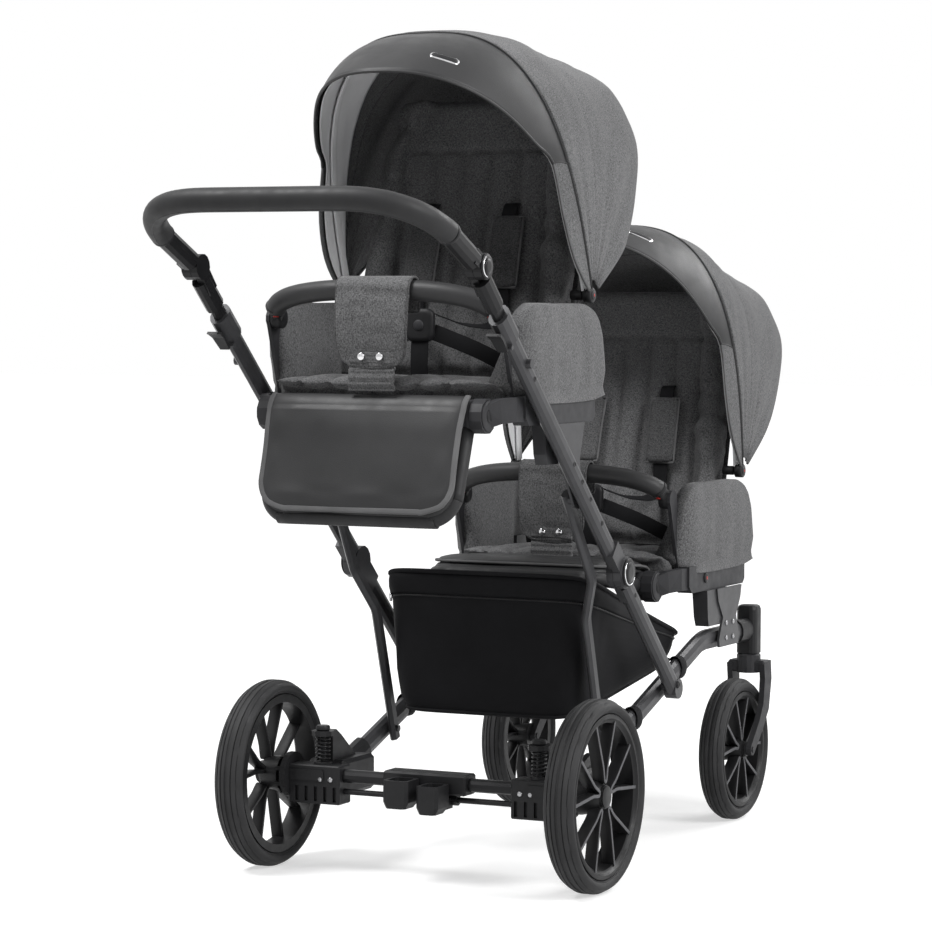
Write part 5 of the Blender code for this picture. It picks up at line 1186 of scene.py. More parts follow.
def build_back_shell(name):
    """The cloth-covered shell behind a backrest pad, and the hubs of its hood."""
    foot, up, out = back_axes(name)
    rows = []
    for i in range(25):
        share = i / 24
        half = BACK_HALF_WIDTH * between(BACK_WIDTHS, share) - 0.004
        rows.append([foot + up * (BACK_LENGTH * (0.01 + 0.98 * share)) + AXIS_X * (half * u)
                     - out * (0.0205 - 0.004 * abs(u) ** 6) for u in (k / 12 - 1 for k in range(25))])
    # The shell takes the darker copy of the melange: painted shade.
    cover = thicken(skin(name + "_back_shell", rows, "cloth_dark"), 0.0022)
    rounding = cover.modifiers.new("soften", "SUBSURF")
    rounding.levels = rounding.render_levels = 1
    ride(cover, name + "_back")
    hubs = [turned("hub", [(0.008, 0.006), (0.008, 0.024), (0.007, 0.026)],
                   seat_at(name, sign * 0.180, *HOOD_PIVOT.yz), "plastic", AXIS_X * sign)
            for sign in SIDES.values()]
    ride(join(name + "_hood_hubs", hubs), name + "_back")


def build_seat_pads():
    """Seat cushions, backrest pads and side wings of both seats."""
    depth = sizes().channel
    seat_form = swell(seat_cushion_form(), 0.0045)
    channel_seat(seat_form, depth)
    back_form = swell(back_cushion_form(), 0.006)
    channel_back(back_form, depth)
    for name in SEATS:
        cushion = placed_copy(seat_form, name + "_seat_cushion", Matrix.Translation(seat_at(name, 0, 0, 0)))
        stuffed(cushion, name + "_seat", name + "_seat_liner")
        for side, sign in SIDES.items():
            wing = solid(name + "_wing_" + side, wing_rows(name, sign), "cloth")
            stuffed(wing, name + "_seat")
        foot, up, out = back_axes(name)
        turn = Matrix((AXIS_X, out, up)).transposed().to_4x4()
        rest = placed_copy(back_form, name + "_back_pad", Matrix.Translation(foot) @ turn)
        stuffed(rest, name + "_back", name + "_backrest")
        build_back_shell(name)
    bpy.data.objects.remove(seat_form)
    bpy.data.objects.remove(back_form)


# Harness

STRAP_THICKNESS = 0.0018
# (x, up the backrest, out of it)
SHOULDER_PATH = ((0.070, 0.292, 0.016), (0.070, 0.280, 0.036), (0.071, 0.230, 0.043), (0.073, 0.160, 0.043),
                 (0.072, 0.090, 0.040))
SLEEVE_PATH = ((0.0705, 0.262, 0.0405), (0.072, 0.205, 0.0445), (0.073, 0.145, 0.0445))
# Places in the seat
SHOULDER_END = ((0.050, 0.030, 0.150), (0.024, -0.026, 0.166))
LAP_PATH = ((0.166, 0.060, 0.070), (0.130, 0.035, 0.082), (0.080, 0.000, 0.112), (0.020, -0.033, 0.140))
CROTCH_PATH = ((0, -0.036, 0.058), (0, -0.040, 0.090), (0, -0.037, 0.132))


def ribbon(name, path, width, across=AXIS_X, thickness=STRAP_THICKNESS):
    """Flat webbing along a path."""
    return bar(name, path, rounded_box(width / 2, thickness / 2, thickness * 0.45, 3), "webbing", across)


def back_point(name, x, up_by, out_by):
    """A point given from the foot of a backrest."""
    foot, up, out = back_axes(name)
    return foot + AXIS_X * x + up * up_by + out * out_by


def build_shoulder_strap(name, side, wide):
    """A shoulder strap with its padded, bound sleeve."""
    sign = SIDES[side]
    path = [back_point(name, sign * x, up, out) for x, up, out in SHOULDER_PATH]
    path += [seat_at(name, sign * x, y, z) for x, y, z in SHOULDER_END]
    strap = ribbon(name + "_shoulder_strap_" + side, smooth_path(path, 8), wide)
    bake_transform(strap)
    path = smooth_path([back_point(name, sign * x, up, out) for x, up, out in SLEEVE_PATH], 10)
    rows = carried(path, rounded_box(0.026, 0.0060, 0.0056, 4), AXIS_X)
    for i, row in enumerate(rows):
        scale = (0.72, 0.93, 1.0)[min(i, len(rows) - 1 - i, 2)]
        middle = sum(row, Vector()) / len(row)
        rows[i] = [middle + (point - middle) * scale for point in row]
    # The sleeve takes the darker copy of the melange: painted shade.
    stuffed(solid(name + "_shoulder_pad_" + side, rows, "cloth_dark"), name + "_back")
    beside = AXIS_X * 0.0262
    edge = [point + beside for point in path] + [point - beside for point in reversed(path)]
    ride(bar(name + "_shoulder_binding_" + side, edge, circle(0.0022, 8), "binding", AXIS_Z, closed=True),
         name + "_back")


def build_buckle(name):
    """The harness buckle with its round button."""
    outline = rounded_box(0.024, 0.026, 0.012, 5)
    rows = [[seat_at(name, a * scale, -0.036 - lift, 0.150 + b * scale) for a, b in outline]
            for lift, scale in ((-0.006, 0.86), (-0.004, 0.98), (0.003, 1.0), (0.006, 0.92), (0.0068, 0.7))]
    button = turned("button", [(0.0085, 0), (0.0085, 0.0012), (0.0072, 0.0022)],
                    seat_at(name, 0, -0.0424, 0.150), "soft_plastic", -AXIS_Y)
    ride(join(name + "_harness_buckle", [solid("buckle", rows, "plastic"), button]), name + "_seat")


def build_harness():
    """Shoulder straps with padded sleeves, lap straps and the buckle."""
    wide = sizes().webbing
    for name in SEATS:
        for side, sign in SIDES.items():
            build_shoulder_strap(name, side, wide)
            lap = smooth_path([seat_at(name, sign * x, y, z) for x, y, z in LAP_PATH], 8)
            ride(ribbon(name + "_lap_strap_" + side, lap, wide, AXIS_Z), name + "_seat")
        crotch = smooth_path([seat_at(name, *place) for place in CROTCH_PATH], 6)
        ride(ribbon(name + "_crotch_strap", crotch, wide * 1.2, thickness=0.002), name + "_seat")
        build_buckle(name)
        slots = []
        for sign in SIDES.values():
            for up_by in (0.292, 0.228):
                rows = [[back_point(name, sign * 0.070 + a, up_by + b, 0.0215 + lift)
                         for a, b in rounded_box(0.017, 0.0022, 0.002)] for lift in (-0.004, 0.0045)]
                slots.append(solid("slot", rows, "binding"))
        ride(join(name + "_harness_slots", slots), name + "_back")


# Hoods

VISOR_STEPS = 16
CANOPY_STEPS = 72
VISOR_FOOT = 0.010
CANOPY_FOOT = 0.024
VISOR_THICKNESS = 0.0030
CANOPY_THICKNESS = 0.0020
LINING_THICKNESS = 0.0008
BADGE_SHARE = {"upper": 0.32, "lower": 0.40}
# (half width, half height, lift, look)
BADGE_LAYERS = ((0.0230, 0.0070, 0.0016, "chrome"), (0.0208, 0.0050, 0.0022, "plastic"))


def arch(name, angle, reach, roundness, foot_share, depth, lean=0.0):
    """A hood hoop's points, foot to foot, each drawn in by a depth that follows its turn."""
    power = 2 / roundness
    first = math.asin(min(1.0, foot_share ** (1 / power)))
    split = math.asin(CLOTH_START ** (1 / power))
    half = [first + (split - first) * k / ARCH_LOW for k in range(ARCH_LOW)]
    half += [split + (math.pi / 2 - split) * k / ARCH_HIGH for k in range(ARCH_HIGH)]
    pivot = seat_at(name, *HOOD_PIVOT)
    row = []
    for turn in half + [math.pi / 2] + [math.pi - each for each in reversed(half)]:
        rise = max(math.sin(turn), 0.0) ** power
        ray = math.radians(angle + lean * between(VISOR_OVERHANG, rise))
        inset = depth(turn)
        row.append(pivot + Vector((0, math.cos(ray), math.sin(ray))) * ((reach - inset) * rise)
                   + AXIS_X * ((HOOD_HALF_WIDTH - inset) * squared(math.cos(turn), power)))
    return row


def visor_row(name, share, inset):
    """One hoop of the visor; share is 0 at its free edge and 1 at its seam."""
    reach = VISOR_REACH[0] + (VISOR_REACH[1] - VISOR_REACH[0]) * share + 0.003 * math.sin(math.pi * share)
    roundness = VISOR_ROUNDNESS[0] + (VISOR_ROUNDNESS[1] - VISOR_ROUNDNESS[0]) * share
    return arch(name, SEAM_ANGLE - HOOD_TURNED_BACK[name], reach, roundness, VISOR_FOOT / (reach - inset),
                lambda turn: inset, 1 - share)


def canopy_row(name, angle, inset):
    """One hoop of the canopy at an angle about the pivots."""
    first, last = CANOPY_HOOPS[0][0], CANOPY_HOOPS[-1][0]
    reach = between([(a, r) for a, r, _ in CANOPY_HOOPS], angle)
    roundness = between([(a, n) for a, _, n in CANOPY_HOOPS], angle)
    share = max(0.0, (angle - last) / (first - last))
    seam = 0.0016 * bell(angle - PANEL_SEAM, 1.0)
    belly = 0.0
    if angle > PANEL_SEAM:
        belly = 0.0030 * math.sin(math.pi * (angle - PANEL_SEAM) / (first - PANEL_SEAM))

    def depth(turn):
        """How far the cloth is drawn in at a turn, by its seam, creases and slack."""
        crease = ripple(math.cos(turn) * 3.2, angle * 0.07, 4.2) * 0.0030
        slack = ripple(math.cos(turn) * 7, angle * 0.16, 1.4) * 0.0018
        return inset + seam - crease - slack - belly * math.sin(turn)

    turned_back = HOOD_TURNED_BACK[name] * share ** 0.6
    return arch(name, angle - turned_back, reach, roundness, CANOPY_FOOT / (reach - inset), depth)


def build_visor(name):
    """A leatherette visor with cloth sides, its piping and seams."""
    rows = [visor_row(name, k / VISOR_STEPS, 0.0) for k in range(VISOR_STEPS + 1)]
    visor = skin(name + "_visor", rows, "leatherette")
    visor.data.materials.append(finish("cloth"))
    width = len(rows[0]) - 1
    for polygon in visor.data.polygons:
        if not ARCH_LOW <= polygon.index % width < width - ARCH_LOW:
            polygon.material_index = 1
    face_up(thicken(visor, VISOR_THICKNESS, -1))
    ride(visor, name + "_hood", name + "_hood_visor")
    edge = visor_row(name, 0.0, 0.001)
    right, left = ([row[column] for row in rows] for column in (ARCH_LOW, -1 - ARCH_LOW))
    for piece, path, outline, look, hint in (
            ("visor_piping", edge[ARCH_LOW:-ARCH_LOW], circle(sizes().piping, 10), "leatherette", AXIS_X),
            ("side_binding_left", edge[-1 - ARCH_LOW:], circle(0.0022, 8), "binding", AXIS_X),
            ("side_binding_right", edge[:ARCH_LOW + 1], circle(0.0022, 8), "binding", AXIS_X),
            ("visor_seam", visor_row(name, 1.0, -0.0006), circle(0.0016, 8), "leatherette", AXIS_X),
            ("corner_seam_right", right, circle(0.0012, 8), "leatherette", AXIS_Z),
            ("corner_seam_left", left, circle(0.0012, 8), "leatherette", AXIS_Z)):
        ride(bar(name + "_" + piece, path, outline, look, hint), name + "_hood")


def build_canopy(name):
    """A canopy that bends between the backrest and its hood, with the linings and the inner hoop."""
    hood, back = name + "_hood", name + "_back"
    first, last = CANOPY_HOOPS[0][0], CANOPY_HOOPS[-1][0]
    angles = [first + (last - first) * k / CANOPY_STEPS for k in range(CANOPY_STEPS + 1)]
    rows = [canopy_row(name, angle, 0.0) for angle in angles]
    canopy = skin(name + "_canopy", rows, "cloth")
    face_up(canopy)
    thicken(canopy, CANOPY_THICKNESS, -1)
    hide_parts(name + "_hood_canopy")
    lining_rows = [visor_row(name, share, 0.0075) for share in (0.10, 0.25, 0.5, 0.75, 0.98)]
    inside = skin(name + "_visor_lining", lining_rows, "lining")
    ride(thicken(inside, LINING_THICKNESS), hood)
    lining_rows = [canopy_row(name, angle, 0.0085) for angle in angles if angle > 94]
    lining = skin(name + "_canopy_lining", lining_rows, "lining")
    thicken(lining, LINING_THICKNESS)
    line = bar(name + "_panel_seam", canopy_row(name, PANEL_SEAM, -0.0002), circle(0.0011, 8), "cloth_dark")
    hem = bar(name + "_canopy_hem", rows[-1], circle(0.0026, 8), "binding")
    for piece in (canopy, lining, line, hem):
        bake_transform(piece)
    ride(bar(name + "_inner_hoop", visor_row(name, 0.96, 0.0125), rounded_box(0.0018, 0.009, 0.0012, 2),
             "lining"), hood)


def build_badge(name):
    """A bare bright plate with a dark middle, laid on the visor's surface."""
    rows = [visor_row(name, k / VISOR_STEPS, 0.0) for k in range(VISOR_STEPS + 1)]
    width = len(rows[0])
    column = ARCH_LOW + ARCH_HIGH - 9
    faces = [(i * width + j, i * width + j + 1, (i + 1) * width + j + 1, (i + 1) * width + j)
             for i in range(VISOR_STEPS) for j in range(width - 1)]
    surface = BVHTree.FromPolygons([point for row in rows for point in row], faces)
    middle = rows[round(BADGE_SHARE[name] * VISOR_STEPS)]
    along = (middle[column + 2] - middle[column - 2]).normalized()
    normal = along.cross(rows[-1][column] - rows[0][column]).normalized()
    if normal.z < 0:
        normal = -normal
    over = normal.cross(along)
    parts = []
    for half_wide, half_high, lift, look in BADGE_LAYERS:
        rings = []
        for size, up in ((1.0, -1.0), (1.0, 0.6), (0.97, 1.0), (0.5, 1.0)):
            starts = [middle[column] + along * (a * size) + over * (b * size) + normal * 0.03
                      for a, b in rounded_box(half_wide, half_high, half_high * 0.8, 5)]
            rings.append([surface.ray_cast(start, -normal)[0] + normal * (lift * up) for start in starts])
        parts.append(solid("plate", rings, look))
    ride(join(name + "_visor_plate", parts), name + "_hood")


def build_hoods():
    """Leatherette visors with cloth sides, canopies, linings, piping and pivot covers."""
    for name in SEATS:
        build_visor(name)
        build_canopy(name)
        discs = []
        for sign in SIDES.values():
            place = seat_at(name, sign * 0.2095, *HOOD_PIVOT.yz)
            discs += [disc("disc", place, 0.0120, 0.0135, "plastic", sign),
                      disc("button", place + AXIS_X * sign * 0.0132, 0.0072, 0.0022, "soft_plastic", sign),
                      disc("mark", place + AXIS_X * sign * 0.0150, 0.0026, 0.0007, "red", sign, 0.0002)]
        ride(join(name + "_pivot_covers", discs), name + "_hood")
        build_badge(name)


# Bumper bars and crotch flaps

BUMPER_REACH = 0.047
BUMPER_RISE = 0.0445
BUMPER_RADIUS = 0.0158
BUMPER_HALF_WIDTH = 0.1885
# Turned trims at the bumper's ends, as (radius, along)
END_RING = ((0.0150, -0.003), (0.0158, -0.002), (0.0158, 0.003), (0.0150, 0.004))
END_ELBOW = ((0.0148, -0.0085), (0.0160, -0.0070), (0.0160, 0.0055), (0.0148, 0.0072), (0.009, 0.0076))
END_CATCH = ((0.0050, -0.001), (0.0050, 0.0022), (0.004, 0.003))
END_SHINE = ((0.0042, 0), (0.0042, 0.0012), (0.003, 0.002))
FLAP_DROP = 0.118
FLAP_CLEAR = BUMPER_RADIUS + 0.0030
FLAP_FRONT_STEPS = 24


def bumper_path(name):
    """The bumper's centre line from one elbow round to the other."""
    count, foot_share, power = 64, 0.36, 2 / 2.6
    lift = Vector((0, -BUMPER_REACH, BUMPER_RISE))
    centre = seat_at(name, *BUMPER_PIVOT)
    first = math.asin(foot_share ** (1 / power))
    turns = [first + (math.pi - 2 * first) * k / count for k in range(count + 1)]
    return [centre + AXIS_X * (BUMPER_HALF_WIDTH * squared(math.cos(t), power)) + lift * math.sin(t) ** power
            for t in turns]


def build_bumpers():
    """Leatherette bumper bars on plastic elbows, with the cloth flap over each."""
    for name in SEATS:
        body = name + "_bumper"
        path = bumper_path(name)
        ride(bar(name + "_bumper_sleeve", path, circle(BUMPER_RADIUS, 24), "leatherette", AXIS_Z),
             body, name + "_bumper_bar")
        ends = []
        for sign in SIDES.values():
            pivot = seat_at(name, sign * BUMPER_HALF_WIDTH, *BUMPER_PIVOT.yz)
            run = (path[0] if sign > 0 else path[-1]) - pivot
            ahead = run.normalized()
            arm = [pivot + ahead * reach for reach in (0.004, run.length * 0.55, run.length + 0.012)]
            rows = carried(arm, rounded_box(0.0085, 0.0125, 0.006, 4), AXIS_X)
            outward = AXIS_X * sign
            ends += [
                solid("arm", rows, "plastic"),
                turned("ring", END_RING, pivot + ahead * (run.length + 0.004), "plastic", ahead, 40),
                turned("elbow", END_ELBOW, pivot, "plastic", outward),
                turned("catch", END_CATCH, pivot + ahead * 0.026 - AXIS_Z * 0.0128, "red", -AXIS_Z, 20),
                turned("shine", END_SHINE, pivot + outward * 0.0072, "chrome", outward, 24)]
        ride(join(name + "_bumper_ends", ends), body)
        build_flap(name, body)


def flap_profile():
    """The flap's section over the bar, as (y, z): up the front, over the bar, down the inside."""
    shares = [1 - k / FLAP_FRONT_STEPS for k in range(FLAP_FRONT_STEPS + 1)]
    front = [(-FLAP_CLEAR - 0.006 * math.sin(math.pi * min(1.0, share * 1.15)) * 0.8, -FLAP_DROP * share)
             for share in shares]
    turns = [math.pi * (1 - k / 14) for k in range(1, 14)]
    over = [(FLAP_CLEAR * math.cos(a), FLAP_CLEAR * math.sin(a)) for a in turns]
    return front + over + [(FLAP_CLEAR - 0.0004 * k, -0.034 * k / 8) for k in range(9)]


def build_flap(name, body):
    """The cloth flap folded over the bumper, its two snaps and its strap."""
    centre = seat_at(name, 0.0085, BUMPER_PIVOT.y - BUMPER_REACH, BUMPER_PIVOT.z + BUMPER_RISE)
    rows = []
    for i, (y, z) in enumerate(flap_profile()):
        down = max(0.0, -z / FLAP_DROP) if i <= FLAP_FRONT_STEPS else 0.0
        half = (0.0610 - 0.0040 * down) * (1 - 0.52 * (1 - dome((down - 0.68) / 0.32)))
        row = []
        for k in range(33):
            u = -1 + k / 16
            wrinkle = ripple(u * 2.2, z * 55, 0.7) * 0.0016
            wrinkle += 0.0012 * math.sin(z * 260 + u * 1.2) * bell(z - 0.004, 0.02)
            cup = 0.0015 * (1 - u * u)
            row.append(centre + Vector((u * half, y - (wrinkle + cup if y < 0 else 0.0), z)))
        rows.append(row)
    flap = skin(name + "_flap", rows, "cloth")
    ride(thicken(flap, 0.0034), body, name + "_crotch_flap")
    rim = [row[0] for row in rows] + rows[-1][1:-1]
    rim += [row[-1] for row in reversed(rows)] + rows[0][::-1][1:-1]
    edge = smooth_path(rim[::2], 2, closed=True)
    ride(bar(name + "_flap_binding", edge, circle(0.0021, 8), "cloth_dark", AXIS_Z, closed=True), body)
    snaps = [turned("snap", [(0.0058, -0.001), (0.0058, 0.0010), (0.0050, 0.0018), (0.0034, 0.0012),
                             (0.0026, 0.0022)],
                    centre + Vector((x, -FLAP_CLEAR - 0.0068, -FLAP_DROP * 0.855)), "chrome", -AXIS_Y, 28)
             for x in (-0.0155, 0.0155)]
    ride(join(name + "_flap_snaps", snaps), body)
    path = [centre + Vector((0, y - FLAP_CLEAR, z)) for y, z in ((0.004, -0.070), (-0.001, -0.105))]
    path += [seat_at(name, 0.008, y, z) for y, z in ((-0.2145, 0.088), (-0.2185, 0.070), (-0.2155, 0.052))]
    rows = carried(smooth_path(path, 6), rounded_box(0.0385, 0.0028, 0.0024, 3), AXIS_X)
    rows = [[point - AXIS_Y * (0.0016 * math.sin(i * 1.9)) for point in row] for i, row in enumerate(rows)]
    ride(solid(name + "_flap_strap", rows, "cloth"), body)


# Footrests

FOOTREST_BEND = 0.042
APRON_LENGTH = 0.158
APRON_HALF_WIDTH = 0.1635
APRON_CORNER = 0.046
APRON_INNER = 0.0285
APRON_CROWN = {"upper": 0.0052, "lower": 0.0115}


def build_footrests():
    """Footrest loops with a soft sleeve, and the padded leatherette aprons over them."""
    for name in SEATS:
        body = name + "_footrest"
        drop = FOOTREST_DROP[name]
        down = Vector((0, -math.cos(drop), -math.sin(drop)))
        out = Vector((0, -math.sin(drop), math.cos(drop)))
        hub = seat_at(name, *FOOTREST_HUB)
        corners = [hub + AXIS_X * (sign * FOOTREST_TUBE_X) + down * reach
                   for sign, reach in ((-1, 0), (-1, FOOTREST_LENGTH), (1, FOOTREST_LENGTH), (1, 0))]
        loop = bar(name + "_footrest_tube", smooth_path(rounded_path(corners, FOOTREST_BEND, 12), 2),
                   circle(FOOTREST_TUBE_RADIUS, 24), "grip", out)
        ride(loop, body, name + "_footrest_loop")
        discs = []
        for sign in SIDES.values():
            cover = hub + AXIS_X * sign * 0.1901
            discs += [disc("hub", hub + AXIS_X * sign * (FOOTREST_TUBE_X - 0.005), 0.0245, 0.0168,
                           "soft_plastic", sign, 0.002),
                      disc("cover", cover, 0.0235, 0.0022, "soft_plastic", sign),
                      disc("middle", cover + AXIS_X * sign * 0.0018, 0.0105, 0.0022, "plastic", sign)]
        ride(join(name + "_footrest_hubs", discs), body)
        build_apron(name, body, hub, down, out)


def apron_half(s, length):
    """Half width of the apron at a distance down it, with round lower corners."""
    half = APRON_HALF_WIDTH - 0.003 * math.sin(math.pi * max(s, 0) / length)
    left = length - s
    if left < APRON_CORNER:
        half -= APRON_CORNER - math.sqrt(max(0.0, APRON_CORNER ** 2 - (APRON_CORNER - left) ** 2))
    return half


def apron_path(end, lift):
    """The apron's section as (distance down, distance out): round the hinge, then down the front."""
    start = APRON_INNER + 0.004
    turns = [math.radians(45) * (1 - k / 8) for k in range(9)]
    path = [(-math.sin(a) * (start + lift), math.cos(a) * (start + lift)) for a in turns]
    fall = ((0.0, start), (0.03, start), (0.06, APRON_INNER + 0.001), (0.12, APRON_INNER - 0.004),
            (0.18, APRON_INNER - 0.010))
    return path + [(end * k / 40, between(fall, end * k / 40) + lift) for k in range(1, 41)]


def build_apron(name, body, hub, down, out):
    """A padded apron with bound edges, and the layer behind it."""
    for layer, (lift, end) in enumerate(((0.0, APRON_LENGTH), (-0.0105, APRON_LENGTH + 0.009))):
        front = []
        rear = []
        for s, n in apron_path(end, lift):
            half = apron_half(s, end)
            lower = clamp((end - s) / 0.02) ** 0.5
            row_front = []
            row_rear = []
            for k in range(65):
                u = -1 + k / 32
                edge = math.sqrt(max(0.0, 1 - abs(u) ** 8))
                crown = APRON_CROWN[name] * edge * lower
                rise = crown * 0.7
                if s > 0:
                    soft = ripple(u * 1.3, s * 7, 2.2 + layer) * 0.0030
                    pull = 0.0013 * bell(s - end + 0.022, 0.010) * math.sin(u * 7.5 + 0.6)
                    side_pull = 0.0010 * bell(abs(u) - 0.90, 0.05) * math.sin(s * 90)
                    rise = crown + (soft + pull + side_pull) * edge * lower
                place = hub + AXIS_X * (u * half) + down * s
                row_front.append(place + out * (n + rise))
                row_rear.append(place + out * (n - 0.0042 * edge * lower))
            front.append(row_front)
            rear.append(row_rear)
        rows = [row_front + row_rear[::-1][1:-1] for row_front, row_rear in zip(front, rear)]
        if layer == 0:
            stuffed(solid(name + "_apron", rows, "leatherette"), body, name + "_footrest_apron")
            rim = [row[0] for row in front] + front[-1][1:-1] + [row[-1] for row in reversed(front)]
            tape = bar(name + "_apron_binding", smooth_path(rim[::2], 2),
                       rounded_box(0.0024, 0.0046, 0.0022, 3), "binding", out)
            ride(tape, body)
        else:
            stuffed(solid(name + "_apron_back", rows, "leatherette"), body)


# Studio

# (name, place, size, power)
LIGHTS = (("key_light", (-1.7, -1.9, 4.4), 1.8, 215), ("fill_light", (3.5, -0.9, 2.7), 1.9, 135),
          ("rim_light", (1.6, 3.0, 2.8), 1.8, 70))
FLOOR_HALF = 30
WHITE = (1, 1, 1, 1)


def seen_rays(tree):
    """1 for rays that show the background: from the camera, off gloss and through glass."""
    rays = add_node(tree, "LightPath")
    share = rays.outputs["Is Camera Ray"]
    for kind in ("Is Glossy Ray", "Is Transmission Ray"):
        more = add_node(tree, "Math", operation="MAXIMUM")
        tree.links.new(share, more.inputs[0])
        tree.links.new(rays.outputs[kind], more.inputs[1])
        share = more.outputs[0]
    return share


def build_floor():
    """A floor that keeps the stroller's shadow and fades to white further out."""
    mesh = bpy.data.meshes.new("studio_floor")
    mesh.from_pydata([(x * FLOOR_HALF, y * FLOOR_HALF, 0) for x, y in ((-1, -1), (1, -1), (1, 1), (-1, 1))],
                     [], [(0, 1, 2, 3)])
    floor = place_object("studio_floor", mesh)
    made, tree, shader = shader_of("studio_white", 0.9, specular=0.1)
    shader.inputs["Base Color"].default_value = (0.60, 0.60, 0.60, 1)
    glow = add_node(tree, "Emission")
    distance = add_node(tree, "VectorMath", operation="LENGTH")
    tree.links.new(own_place(tree), distance.inputs[0])
    fade = add_node(tree, "MapRange", {"From Min": 1.3, "From Max": 4.0, "To Min": 0.55, "To Max": 0.92})
    tree.links.new(distance.outputs["Value"], fade.inputs["Value"])
    level = add_node(tree, "Math", operation="MULTIPLY")
    tree.links.new(fade.outputs["Result"], level.inputs[1])
    tree.links.new(seen_rays(tree), level.inputs[0])
    tree.links.new(level.outputs[0], glow.inputs["Strength"])
    both = add_node(tree, "AddShader")
    tree.links.new(shader.outputs["BSDF"], both.inputs[0])
    tree.links.new(glow.outputs["Emission"], both.inputs[1])
    tree.links.new(both.outputs["Shader"], tree.nodes["Material Output"].inputs["Surface"])
    mesh.materials.append(made)
    floor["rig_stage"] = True


def build_world():
    """A white background that lights the stroller only softly."""
    world = bpy.data.worlds.new("studio_world")
    bpy.context.scene.world = world
    world.use_nodes = True
    tree = world.node_tree
    soft = tree.nodes["Background"]
    soft.inputs["Color"].default_value = WHITE
    soft.inputs["Strength"].default_value = 0.20
    white = add_node(tree, "Background", {"Color": WHITE})
    mix = add_node(tree, "MixShader")
    tree.links.new(seen_rays(tree), mix.inputs["Fac"])
    tree.links.new(soft.outputs["Background"], mix.inputs[1])
    tree.links.new(white.outputs["Background"], mix.inputs[2])
    tree.links.new(mix.outputs["Shader"], tree.nodes["World Output"].inputs["Surface"])


def build_studio():
    """A white floor that keeps the stroller's shadow, a white background and soft lights."""
    build_floor()
    build_world()
    low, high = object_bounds()
    middle = (Vector(low) + Vector(high)) / 2
    for name, place, size, power in LIGHTS:
        lamp = bpy.data.lights.new(name, "AREA")
        lamp.shape = "SQUARE"
        lamp.size = size
        lamp.energy = power
        light = place_object(name, lamp)
        light.location = Vector(place)
        light.rotation_mode = "QUATERNION"
        light.rotation_quaternion = (middle - light.location).to_track_quat("-Z", "Y")
    bpy.context.scene.view_settings.view_transform = "Standard"


CAMERA_PLACE = (2.290, -4.633, 0.906)
CAMERA_AZIMUTH = math.radians(25.681)
CAMERA_ELEVATION = math.radians(2.816)
CAMERA_ROLL = math.radians(0.19)
CAMERA_FOCUS = 3300 / 932
SENSOR_WIDTH = 36


def build_camera():
    """The camera, at the photograph's place and angle; its place is measured from the rear axle."""
    camera = bpy.data.cameras.new("photo_camera")
    camera.sensor_width = SENSOR_WIDTH
    camera.lens = SENSOR_WIDTH * CAMERA_FOCUS
    camera.clip_start = 0.1
    camera.clip_end = 200
    made = place_object("photo_camera", camera)
    az, el = CAMERA_AZIMUTH, CAMERA_ELEVATION
    ahead = Vector((-math.sin(az) * math.cos(el), math.cos(az) * math.cos(el), -math.sin(el)))
    right = Vector((math.cos(az), math.sin(az), 0))
    up = right.cross(ahead)
    level = right * math.cos(CAMERA_ROLL) + up * math.sin(CAMERA_ROLL)
    upright = up * math.cos(CAMERA_ROLL) - right * math.sin(CAMERA_ROLL)
    turn = Matrix((level, upright, -ahead)).transposed().to_4x4()
    made.matrix_world = Matrix.Translation(Vector(CAMERA_PLACE) + AXIS_Y * AXLE_Y) @ turn
    bpy.context.scene.camera = made


# Operators and panel

def operator(idname, label, about, work):
    """An operator class that does one piece of work."""
    def execute(self, context):
        """Do the work."""
        work()
        return {"FINISHED"}
    return type("STROLLER_OT_" + idname, (bpy.types.Operator,), {
        "__doc__": about, "bl_idname": "stroller." + idname, "bl_label": label, "execute": execute})


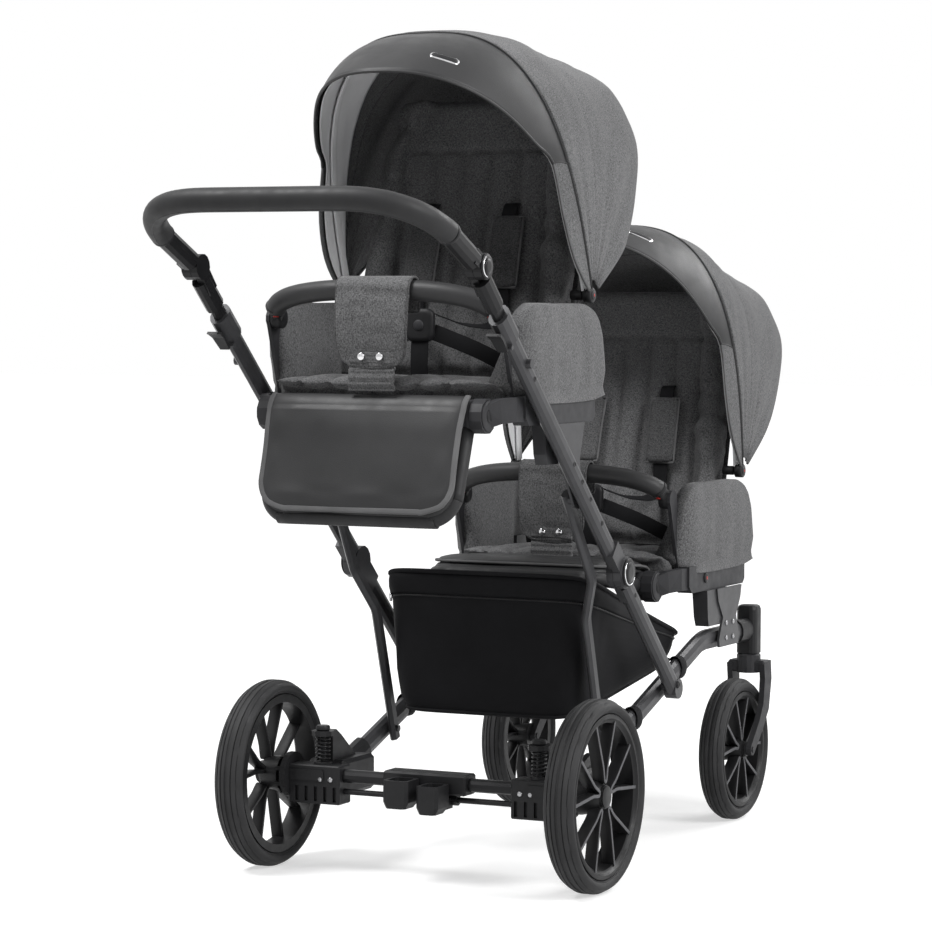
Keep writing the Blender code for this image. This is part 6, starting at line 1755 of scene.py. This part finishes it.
WORK = (
    ("wheels", "Wheels", "Build the air tyres and the moulded rims", build_wheels),
    ("axle", "Rear axle", "Build the springs, studs and covers of the rear axle", build_axle_trims),
    ("finishes", "Frame finishes", "Put paint and moulded finishes on the frame", finish_nodes),
    ("frame_trims", "Frame trims", "Build hinge covers, holes and bolts of the tubes", build_frame_trims),
    ("bracket_trims", "Bracket trims", "Build the brackets' screws and release buttons", build_bracket_trims),
    ("handle", "Handle", "Build the padded grip and the tilt joint covers", build_handle),
    ("basket", "Basket", "Build the nylon basket, its hem, zip and straps", build_basket),
    ("pads", "Seat pads", "Build the seat cushions, backrests and side wings", build_seat_pads),
    ("harness", "Harness", "Build the straps, shoulder pads and buckles", build_harness),
    ("hoods", "Hoods", "Build the visors, canopies, linings and piping", build_hoods),
    ("bumpers", "Bumper bars", "Build the bumper bars and their cloth flaps", build_bumpers),
    ("footrests", "Footrests", "Build the footrest loops and padded aprons", build_footrests),
    ("studio", "Studio", "Build the floor, the background and the lights", build_studio),
    ("camera", "Camera", "Place the camera", build_camera),
)
OPERATORS = [operator(*work) for work in WORK]


class STROLLER_PT_panel(bpy.types.Panel):
    """Lists the pieces of the stroller's dressing"""
    bl_label = "Stroller"
    bl_idname = "STROLLER_PT_panel"
    bl_space_type = "VIEW_3D"
    bl_region_type = "UI"
    bl_category = "Stroller"

    def draw(self, context):
        """Draw the sizes, the colours and a button for each piece."""
        for group in (context.scene.stroller_sizes, context.scene.stroller_colours):
            for name in group.__annotations__:
                self.layout.prop(group, name)
        for idname, label, _, _ in WORK:
            self.layout.operator("stroller." + idname, text=label)


CLASSES = (StrollerSizes, StrollerColours, *OPERATORS, STROLLER_PT_panel)


def register():
    """Make the panel, its operators and its properties known to Blender."""
    for each in CLASSES:
        bpy.utils.register_class(each)
    bpy.types.Scene.stroller_sizes = PointerProperty(type=StrollerSizes)
    bpy.types.Scene.stroller_colours = PointerProperty(type=StrollerColours)


def unregister():
    """Take the panel, its operators and its properties away again."""
    del bpy.types.Scene.stroller_colours
    del bpy.types.Scene.stroller_sizes
    for each in reversed(CLASSES):
        bpy.utils.unregister_class(each)


def main():
    """Build everything and write the CAD box and the dressed box."""
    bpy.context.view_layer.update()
    register()
    for idname, _, _, _ in WORK:
        getattr(bpy.ops.stroller, idname)()


if __name__ == "__main__":
    main()
